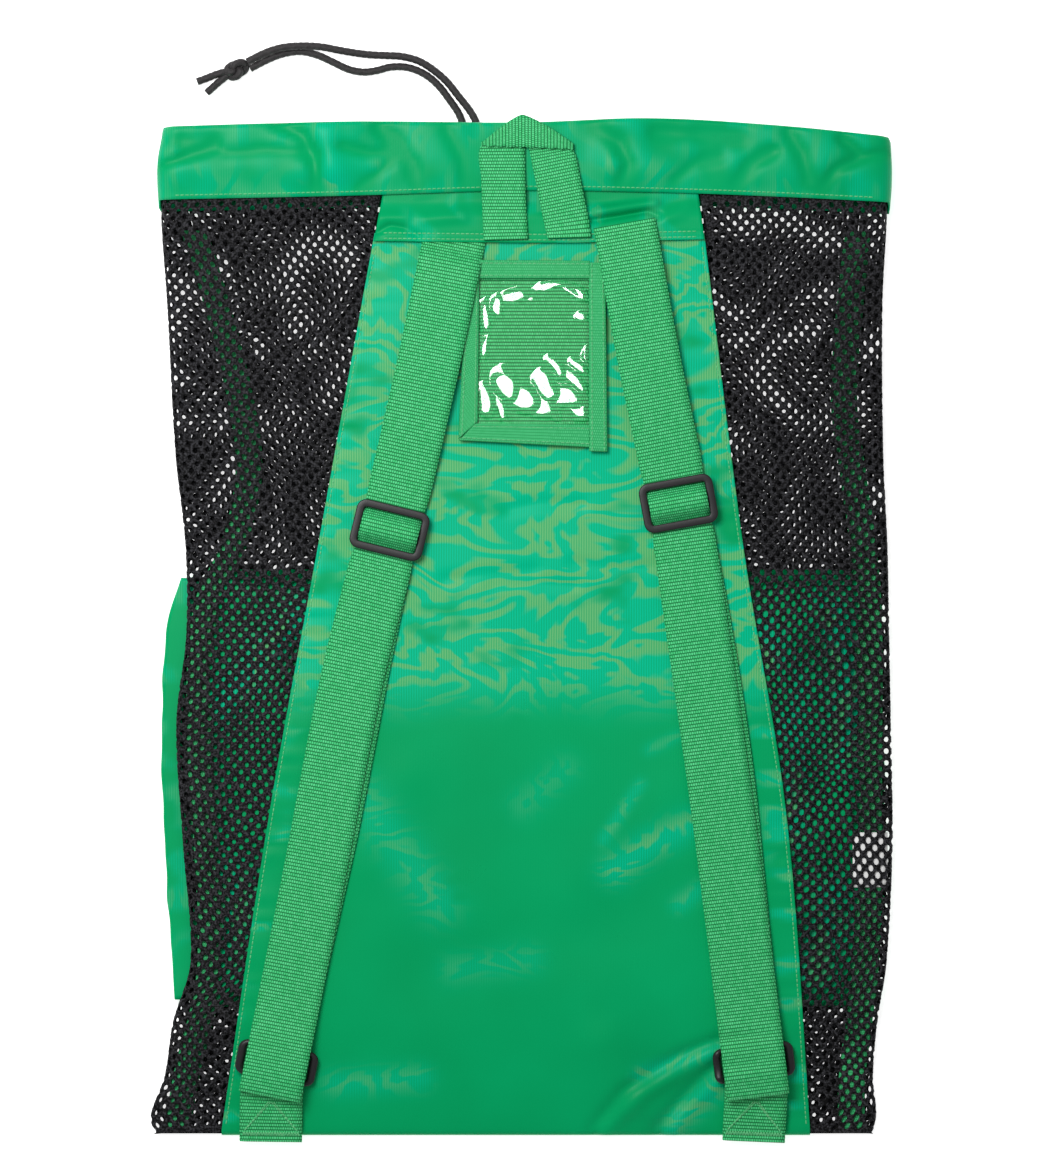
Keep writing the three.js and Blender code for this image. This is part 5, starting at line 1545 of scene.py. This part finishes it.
def strap_ring(side, route):
    half_x = (RING["wide"] - RING["bar"]) / 2 - RING["corner"]
    half_y = (RING["long"] - RING["bar"]) / 2 - RING["corner"]
    line = []
    for start, (sign_x, sign_y) in enumerate(((1, 1), (-1, 1), (-1, -1), (1, -1))):
        for step in range(RING_STEPS + 1):
            angle = math.pi / 2 * (start + step / RING_STEPS)
            x = sign_x * half_x + RING["corner"] * math.cos(angle)
            y = sign_y * half_y + RING["corner"] * math.sin(angle)
            along = route[-1]["at"] + RING["from_fold"] - y
            line.append(beside_strap(route, along, x, RING["above"], 0.0))
    line.append(line[0])
    bm = tube(line, RING["bar"] / 2, RING_SIDES, True, ring_ends)
    finish_piece(bm, "strap_ring_" + side, PLASTIC, "plastic", "ring_" + side)


def shoulder_strap(side, slider_y, start, line, tab):
    route = route_through([(x, y, 0.0) for x, y in line])
    slider_along = 0.0
    while strap_spot(route, slider_along)[0].y > slider_y:
        slider_along += STRAP_STEP
    marks = dict(yoke=0.0, slider=slider_along, ring=route[-1]["at"])
    half = STRAP_WIDE / 2
    under_yoke = [("yoke", along, above, 0) for along, above in zip(STRAP_UNDER_YOKE, start)]
    rows, length = way_rows(route, marks, under_yoke + STRAP_WAY, half)
    strap = finish_piece(webbing_strip(rows, STRAP_WIDE, STRAP_THICK), "strap_webbing_" + side, WEBBING,
                         "webbing", "strap_" + side)
    tab_route = route_through([(x, y, 0.0) for x, y in tab])
    bar = marks["ring"] - TAB_LOOP
    tab_marks = {mark: along - bar for mark, along in marks.items()}
    rows, length = way_rows(tab_route, tab_marks, TAB_WAY, half)
    sewn = finish_piece(webbing_strip(rows, STRAP_WIDE, STRAP_THICK), "tab_webbing_" + side, WEBBING,
                        "webbing", "tab_" + side)
    strap_slider(side, *strap_spot(route, slider_along))
    strap_ring(side, route)
    return tab_route


# Grab loop: two legs and a top that folds over them, its ribs upright in the top
LOOP_WIDE = 26.0
LOOP_THICK = 1.4
LOOP_LEVEL = 21.9
LOOP_UPPER = 24.1
LEFT_LEG = [
    ((-22.6, 233.5, 22.5), (3.8, 234.2, 22.5)),
    ((-23.4, 252.0, LOOP_LEVEL), (2.8, 252.0, LOOP_LEVEL)),
    ((-24.0, 270.0, LOOP_LEVEL), (2.2, 270.0, LOOP_LEVEL)),
    ((-24.4, 289.6, LOOP_LEVEL), (1.8, 290.0, LOOP_LEVEL)),
    ((-12.4, 297.6, LOOP_LEVEL), (1.4, 298.2, LOOP_LEVEL)),
    ((-0.6, 305.6, LOOP_LEVEL), (0.8, 306.4, LOOP_LEVEL)),
]
RIGHT_LEG = [
    ((15.8, 234.6, 22.7), (41.8, 235.2, 22.5)),
    ((14.0, 242.0, LOOP_LEVEL), (40.2, 246.0, LOOP_LEVEL)),
    ((11.8, 252.6, LOOP_LEVEL), (37.8, 258.0, LOOP_LEVEL)),
    ((8.8, 267.4, LOOP_LEVEL), (34.8, 273.0, LOOP_LEVEL)),
    ((6.0, 281.4, LOOP_LEVEL), (31.6, 286.6, LOOP_LEVEL)),
    ((4.6, 288.4, LOOP_LEVEL), (26.0, 291.2, LOOP_LEVEL)),
    ((2.4, 304.8, LOOP_LEVEL), (4.4, 305.2, LOOP_LEVEL)),
]
LOOP_CORNERS = (-24.0, 31.0)
LOOP_BOTTOM = (290.4, 288.4)
LOOP_PEAK = (0.4, 308.6)
LOOP_FALL = 17.6
LOOP_FALL_POWER = 1.3
LOOP_LEAST = 2.0
LOOP_TOP_LONG = 20.0
LOOP_TILT = 0.3
LOOP_EDGE = 5.0
LOOP_SCALLOP = 0.8
LOOP_SCALLOP_RIBS = 6
LOOP_SCALLOP_START = 0.3


# Rows of a leg, one for each half rib, by the distance along its inner edge
def leg_rows(leg, inner):
    measured = route_through([ends[inner] for ends in leg])
    length = measured[-1]["at"]
    edges = []
    for side in (0, 1):
        edges.append([dict(at=step["at"], x=ends[side][0], y=ends[side][1], z=ends[side][2])
                      for ends, step in zip(leg, measured)])
    count = round(length / RIB_STEP)
    rows = [[route_point(edge, length * i / count) for edge in edges] for i in range(count + 1)]
    return rows, length


def grab_loop():
    for name, leg, inner in (("loop_left_leg", LEFT_LEG, 1), ("loop_right_leg", RIGHT_LEG, 0)):
        rows, length = leg_rows(leg, inner)
        bm = webbing_strip(rows, LOOP_WIDE, LOOP_THICK)
        strip = finish_piece(bm, name, WEBBING, "webbing", "grab_loop")
    left, right = LOOP_CORNERS
    columns = round((right - left) / RIB_STEP)
    rows = []
    for i in range(columns + 1):
        x = mix(right, left, i / columns)
        scallop = math.sin(math.pi * (i / LOOP_SCALLOP_RIBS + LOOP_SCALLOP_START)) ** 2
        bottom = mix(*LOOP_BOTTOM, (x - left) / (right - left)) - LOOP_SCALLOP * scallop
        reach = right - LOOP_PEAK[0] if x > LOOP_PEAK[0] else LOOP_PEAK[0] - left
        roof = LOOP_PEAK[1] - (abs(x - LOOP_PEAK[0]) / reach) ** LOOP_FALL_POWER * LOOP_FALL
        top = max(roof, bottom + LOOP_LEAST)
        edge = 1 - smoothstep(min(x - left, right - x), 0.0, LOOP_EDGE)
        rows.append([Vector((x, bottom, LOOP_UPPER + LOOP_TILT - edge)),
                     Vector((x, top, LOOP_UPPER - edge))])
    bm = webbing_strip(rows, LOOP_TOP_LONG, LOOP_THICK)
    top = finish_piece(bm, "loop_top", WEBBING, "webbing", "grab_loop")


# Card window: ribbed backing, clear vinyl, four bound edges
BACKING = dict(left=[(-31, 119), (-29, 214)], right=[(44, 119), (44, 214)], above=1.7, thick=1.4)
BACKING_SIZE = (74.0, 95.0)
BACKING_CELLS = (10, 185)
FILM = dict(left=[(-30, 120), (-28, 209.6)], right=[(43, 120), (43, 209.6)], above=3.0, thick=0.4)
FILM_SIZE = (72.0, 93.0)
FILM_CELLS = (100, 130)
FILM_HELD = 0.08
FILM_LOWEST = -0.25
WINDOW_TAPES = [
    dict(name="top", upright=False, lift=0.2,
         left=[(-34, 210.6), (-34, 221.6)], right=[(41, 210.6), (41, 221)]),
    dict(name="bottom", upright=False, lift=0.2,
         left=[(-37.4, 113.4), (-27.8, 123.4)], right=[(41, 109.2), (41, 122.8)]),
    dict(name="left", upright=True, lift=0.0,
         left=[(-37.6, 114.4), (-33, 216)], right=[(-26.2, 124.6), (-25.4, 212)]),
    dict(name="right", upright=True, lift=0.5,
         left=[(40.6, 106.8), (40.6, 220)], right=[(51.4, 106.4), (50.2, 220)]),
]
TAPE_ABOVE = 4.2
TAPE_EDGE_DROP = 0.5
TAPE_EDGE_POWER = 6
WINDOW_TAPE_THICK = 1.0
WINDOW_TAPE_CELLS = dict(upright=(12, 60), level=(60, 12))
WINDOW_TAPE_SIZE = dict(upright=(11.0, 110.0), level=(75.0, 11.0))

# Flat facets of the film that lean towards the lamp, each with its half length, half width and turn.
# The higher FACET_EDGE is, the sharper they end.
FILM_FACETS = [
    dict(x=-22.2, y=188, long=11.0, wide=4.4, turn=1.6),
    dict(x=-22.4, y=172, long=11.0, wide=4.4, turn=1.5),
    dict(x=-14.4, y=194, long=8.2, wide=3.8, turn=1.7),
    dict(x=-5.0, y=200, long=9.5, wide=4.4, turn=0.1),
    dict(x=5.6, y=200, long=4.6, wide=3.4, turn=1.4),
    dict(x=17.0, y=206.4, long=11.0, wide=2.8, turn=0.1),
    dict(x=31.0, y=203, long=11.6, wide=4.3, turn=-0.5),
    dict(x=36.0, y=187.6, long=4.4, wide=3.5, turn=-0.2),
    dict(x=39.4, y=165, long=5.5, wide=3.1, turn=1.7),
    dict(x=34.5, y=158, long=8.9, wide=3.2, turn=-0.7),
    dict(x=32.5, y=149.5, long=12.3, wide=4.2, turn=-0.85),
    dict(x=20.0, y=158, long=9.7, wide=3.5, turn=-0.9),
    dict(x=-9.5, y=147, long=13.2, wide=6.8, turn=-1.2),
    dict(x=-1.0, y=139, long=13.6, wide=8.6, turn=-0.45),
    dict(x=10.0, y=135, long=13.0, wide=8.2, turn=-0.35),
    dict(x=14.5, y=146, long=11.6, wide=6.8, turn=-1.0),
    dict(x=25.0, y=140, long=14.2, wide=7.6, turn=-0.3),
    dict(x=34.5, y=135, long=12.6, wide=9.2, turn=-0.6),
    dict(x=18.5, y=130.5, long=6.8, wide=3.6, turn=-0.9),
    dict(x=-22.6, y=137, long=11.7, wide=6.2, turn=1.75),
    dict(x=-12.4, y=132.5, long=11.0, wide=2.9, turn=-1.1),
]
FACET_SLOPE = (0.148, -0.172)
FACET_EDGE = 4
FILM_RIPPLE = 0.1
FILM_RIPPLE_PITCH = 16.0
FILM_WANDER = 1.9
FILM_WANDER_PITCH = 11.0


# Height of a facet at a point: its plane inside its oval, which starts from nothing at its low end
def facet_height(facet, x, y):
    from_x = x - facet["x"]
    from_y = y - facet["y"]
    cosine = math.cos(facet["turn"])
    sine = math.sin(facet["turn"])
    slope_x, slope_y = FACET_SLOPE
    along = from_x * cosine + from_y * sine
    across = from_y * cosine - from_x * sine
    inside = math.exp(-((along / facet["long"]) ** 2 + (across / facet["wide"]) ** 2) ** FACET_EDGE)
    slope_along = slope_x * cosine + slope_y * sine
    slope_across = slope_y * cosine - slope_x * sine
    lowest = math.hypot(slope_along * facet["long"], slope_across * facet["wide"])
    return inside * (slope_x * from_x + slope_y * from_y + lowest)


# A place on a flat patch that is given by the ends of its left and its right edge
def patch_spot(edges, across, along):
    start = Vector(edges["left"][0]).lerp(Vector(edges["left"][1]), along)
    end = Vector(edges["right"][0]).lerp(Vector(edges["right"][1]), along)
    return start.lerp(end, across)


def card_window():
    def on_backing(across, along):
        spot = patch_spot(BACKING, across, along)
        rib = RIB_RISE * math.sin(2 * math.pi * spot.y / RIB)
        return on_panel(spot.x, spot.y, BACKING["above"] + rib)

    bm = cloth_grid(*BACKING_CELLS, *BACKING_SIZE, on_backing)
    thicken(bm, BACKING["thick"])
    finish_piece(bm, "card_backing", WEBBING, "webbing", "id_backing")

    def on_film(across, along):
        spot = patch_spot(FILM, across, along)
        loose = smoothstep(min(across, 1 - across), 0.0, FILM_HELD) * smoothstep(along, 0.0, FILM_HELD)
        x = spot.x + FILM_WANDER * ripple(spot.x, spot.y, FILM_WANDER_PITCH, seed=16.0)
        y = spot.y + FILM_WANDER * ripple(spot.x, spot.y, FILM_WANDER_PITCH, seed=17.0)
        wave = max(facet_height(facet, x, y) for facet in FILM_FACETS)
        wave += FILM_RIPPLE * ripple(spot.x, spot.y, FILM_RIPPLE_PITCH, seed=15.0)
        return on_panel(spot.x, spot.y, FILM["above"] + max(wave * loose, FILM_LOWEST))

    bm = cloth_grid(*FILM_CELLS, *FILM_SIZE, on_film)
    thicken(bm, FILM["thick"])
    film = finish_piece(bm, "card_film", VINYL, "vinyl", "id_window")
    for edges in WINDOW_TAPES:
        def on_tape(across, along):
            spot = patch_spot(edges, across, along)
            from_middle = abs(2 * (across if edges["upright"] else along) - 1)
            above = TAPE_ABOVE + edges["lift"] - TAPE_EDGE_DROP * from_middle ** TAPE_EDGE_POWER
            return on_panel(spot.x, spot.y, above)

        direction = "upright" if edges["upright"] else "level"
        bm = cloth_grid(*WINDOW_TAPE_CELLS[direction], *WINDOW_TAPE_SIZE[direction], on_tape)
        thicken(bm, WINDOW_TAPE_THICK)
        finish_piece(bm, "window_tape_" + edges["name"], BINDING, "webbing", "id_tape_" + edges["name"])


# White label, blank, over the right seam tape
LABEL_BOX = dict(left=199.1, right=220.1, low=-155.0, high=-122.0, under=1.1, thick=0.8)
LABEL_SIZE = (21.0, 33.0)
LABEL_CELLS = (6, 10)


def blank_label():
    def place(across, along):
        x = mix(LABEL_BOX["left"], LABEL_BOX["right"], across)
        y = mix(LABEL_BOX["low"], LABEL_BOX["high"], along)
        return Vector((x, y, back_height(x, y) - lap_drop(y) - LABEL_BOX["under"]))

    bm = cloth_grid(*LABEL_CELLS, *LABEL_SIZE, place)
    thicken(bm, LABEL_BOX["thick"])
    finish_piece(bm, "sewn_label", LABEL_WHITE, "label", "blank_label")


tab_routes = {strap["side"]: shoulder_strap(**strap) for strap in STRAPS}
grab_loop()
card_window()
blank_label()

# Stitches: a thread along each row, which dips into the cloth at every needle hole
STITCH_LONG = 2.9
STITCH_ARCH = (-0.9, 0.08, 0.24, 0.08)
STITCH_SIDES = 5
THREAD_RADIUS = 0.4
SEAM_ROW = dict(start=-298.0, end=230.0, long=536)
YOKE_ROW = dict(start=-83.0, end=105.0, long=188)
HEM_ROW = dict(start=-208.0, end=211.0, long=419)
WINDOW_ROWS = (0.16, 0.84)
WINDOW_ROW_LONG = dict(upright=105, level=75)


def stitch_row(bm, count, place):
    steps = len(STITCH_ARCH)
    line = []
    for i in range(count * steps + 1):
        line.append(place(i / (count * steps)) + Vector((0, 0, STITCH_ARCH[i % steps])))
    join(bm, tube(line, THREAD_RADIUS, STITCH_SIDES, False, lambda turn, row: 0.0))


def panel_stitches():
    bm = bmesh.new()
    for side, sign in (("left", 1), ("right", -1)):
        def place(share):
            y = mix(SEAM_ROW["start"], SEAM_ROW["end"], share)
            x = value_at(PANEL_EDGES, side, y) + sign * STITCH_ROW
            return on_panel(x, y, seam_relief(STITCH_ROW, y, SEAM_SEEDS[side]) + NYLON / 2)

        stitch_row(bm, round(SEAM_ROW["long"] / STITCH_LONG), place)
    for row in YOKE_ROWS:
        def along_yoke(share):
            x = mix(YOKE_ROW["start"], YOKE_ROW["end"], share)
            y = value_at(YOKE_EDGE, "edge", x) + row
            return Vector((x, y, yoke_height(x, y) - STITCH_DENT + NYLON / 2))

        stitch_row(bm, round(YOKE_ROW["long"] / STITCH_LONG), along_yoke)
    finish_piece(bm, "panel_stitches", THREAD, "nylon")


def hem_stitches():
    level = value_at(HEIGHTS, "front", HEM_LEVEL) + 2 * value_at(HEIGHTS, "curl", HEM_LEVEL)
    bm = bmesh.new()

    def place(share):
        x = mix(HEM_ROW["start"], HEM_ROW["end"], share)
        low = value_at(HEM_EDGES, "bottom", x)
        up = HEM_STITCH_UP / (value_at(HEM_EDGES, "top", x) - low)
        out = mix(HEM_SECTION[0]["out"], HEM_SECTION[1]["out"], up / HEM_SECTION[1]["up"])
        y = low + HEM_STITCH_UP
        return Vector((x, y, level + out + hem_relief(x, y) + NYLON / 2))

    stitch_row(bm, round(HEM_ROW["long"] / STITCH_LONG), place)
    finish_piece(bm, "hem_stitches", THREAD, "nylon")


def window_stitches():
    bm = bmesh.new()
    for edges in WINDOW_TAPES:
        length = WINDOW_ROW_LONG["upright" if edges["upright"] else "level"]
        for inset in WINDOW_ROWS:
            def place(share):
                across, along = (inset, share) if edges["upright"] else (share, inset)
                spot = patch_spot(edges, across, along)
                return on_panel(spot.x, spot.y, TAPE_ABOVE + edges["lift"] + WINDOW_TAPE_THICK / 2)

            stitch_row(bm, round(length / STITCH_LONG), place)
    finish_piece(bm, "window_stitches", THREAD, "webbing")


# Each tab is sewn down with two slanted double rows that meet at the top and a dense zigzag below
TAB_TOP = [
    dict(at=-6.0, above=6.8),
    dict(at=6.0, above=4.4),
    dict(at=17.0, above=3.7),
    dict(at=28.0, above=2.4),
]
TAB_SLANT = dict(top=3.5, bottom=21.5, side=16.0, stitches=10)
TAB_DOUBLE = (0.0, 1.4)
TAB_ZIGZAGS = 40
TAB_ZIGZAG = dict(side=17.0, top=21.8, high=3.0)


def tab_stitches(side, route):
    bm = bmesh.new()

    def on_tab(across, along):
        above = value_at(TAB_TOP, "above", along) + STRAP_THICK / 2
        return beside_strap(route, TAB_LOOP + along, across, above, 0.0)

    for sign in (-1, 1):
        for offset in TAB_DOUBLE:
            def slanted(share):
                across = sign * mix(offset, TAB_SLANT["side"], share)
                return on_tab(across, mix(TAB_SLANT["top"], TAB_SLANT["bottom"], share))

            stitch_row(bm, TAB_SLANT["stitches"], slanted)

    def zigzag(share):
        across = mix(-TAB_ZIGZAG["side"], TAB_ZIGZAG["side"], share)
        step = abs(share * TAB_ZIGZAGS % 2 - 1)
        return on_tab(across, TAB_ZIGZAG["top"] + TAB_ZIGZAG["high"] * step)

    stitch_row(bm, TAB_ZIGZAGS, zigzag)
    finish_piece(bm, "tab_stitches_" + side, THREAD, "webbing")


panel_stitches()
hem_stitches()
window_stitches()
for side, route in tab_routes.items():
    tab_stitches(side, route)

# Stage: a white floor that gives back a little light, a soft sky and one key light from upper left.
# The floor's half width and the key light's size and place are in metres.
FLOOR_HALF = 3.0
FLOOR_LEVEL = -0.2
SKY_STRENGTH = 0.36
FLOOR_GLOW = 0.75
KEY_WATTS = 20.8
KEY_SIZE = 0.7
KEY_FROM = Vector((-0.48, 0.56, 1.45))


def stage():
    floor_paint = new_material("pale_floor")
    tree = floor_paint.node_tree
    shader = add_node(tree, "ShaderNodeBsdfPrincipled", {}, {
        "Base Color": linear("#F0F0F0"), "Roughness": 0.9, "Emission Color": linear("#FFFFFF"),
        "Emission Strength": FLOOR_GLOW})
    add_node(tree, "ShaderNodeOutputMaterial", {}, {"Surface": shader.outputs["BSDF"]})
    bm = bmesh.new()
    bmesh.ops.create_grid(bm, x_segments=1, y_segments=1, size=FLOOR_HALF)
    bmesh.ops.translate(bm, verts=bm.verts, vec=(0, 0, FLOOR_LEVEL * MM))
    mesh = bpy.data.meshes.new("floor")
    bm.to_mesh(mesh)
    bm.free()
    mesh.materials.append(floor_paint)
    floor = bpy.data.objects.new("floor", mesh)
    bpy.context.scene.collection.objects.link(floor)

    world = bpy.data.worlds.new("soft_sky")
    world.use_nodes = True
    sky = world.node_tree.nodes["Background"]
    sky.inputs["Color"].default_value = linear("#FFFFFF")
    sky.inputs["Strength"].default_value = SKY_STRENGTH
    bpy.context.scene.world = world

    light = bpy.data.lights.new("key_light", "AREA")
    light.size = KEY_SIZE
    light.energy = KEY_WATTS
    key = bpy.data.objects.new("key_light", light)
    key.location = KEY_FROM
    key.rotation_euler = KEY_FROM.to_track_quat("Z", "Y").to_euler()
    bpy.context.scene.collection.objects.link(key)
    bpy.context.scene.view_settings.view_transform = "Standard"


stage()
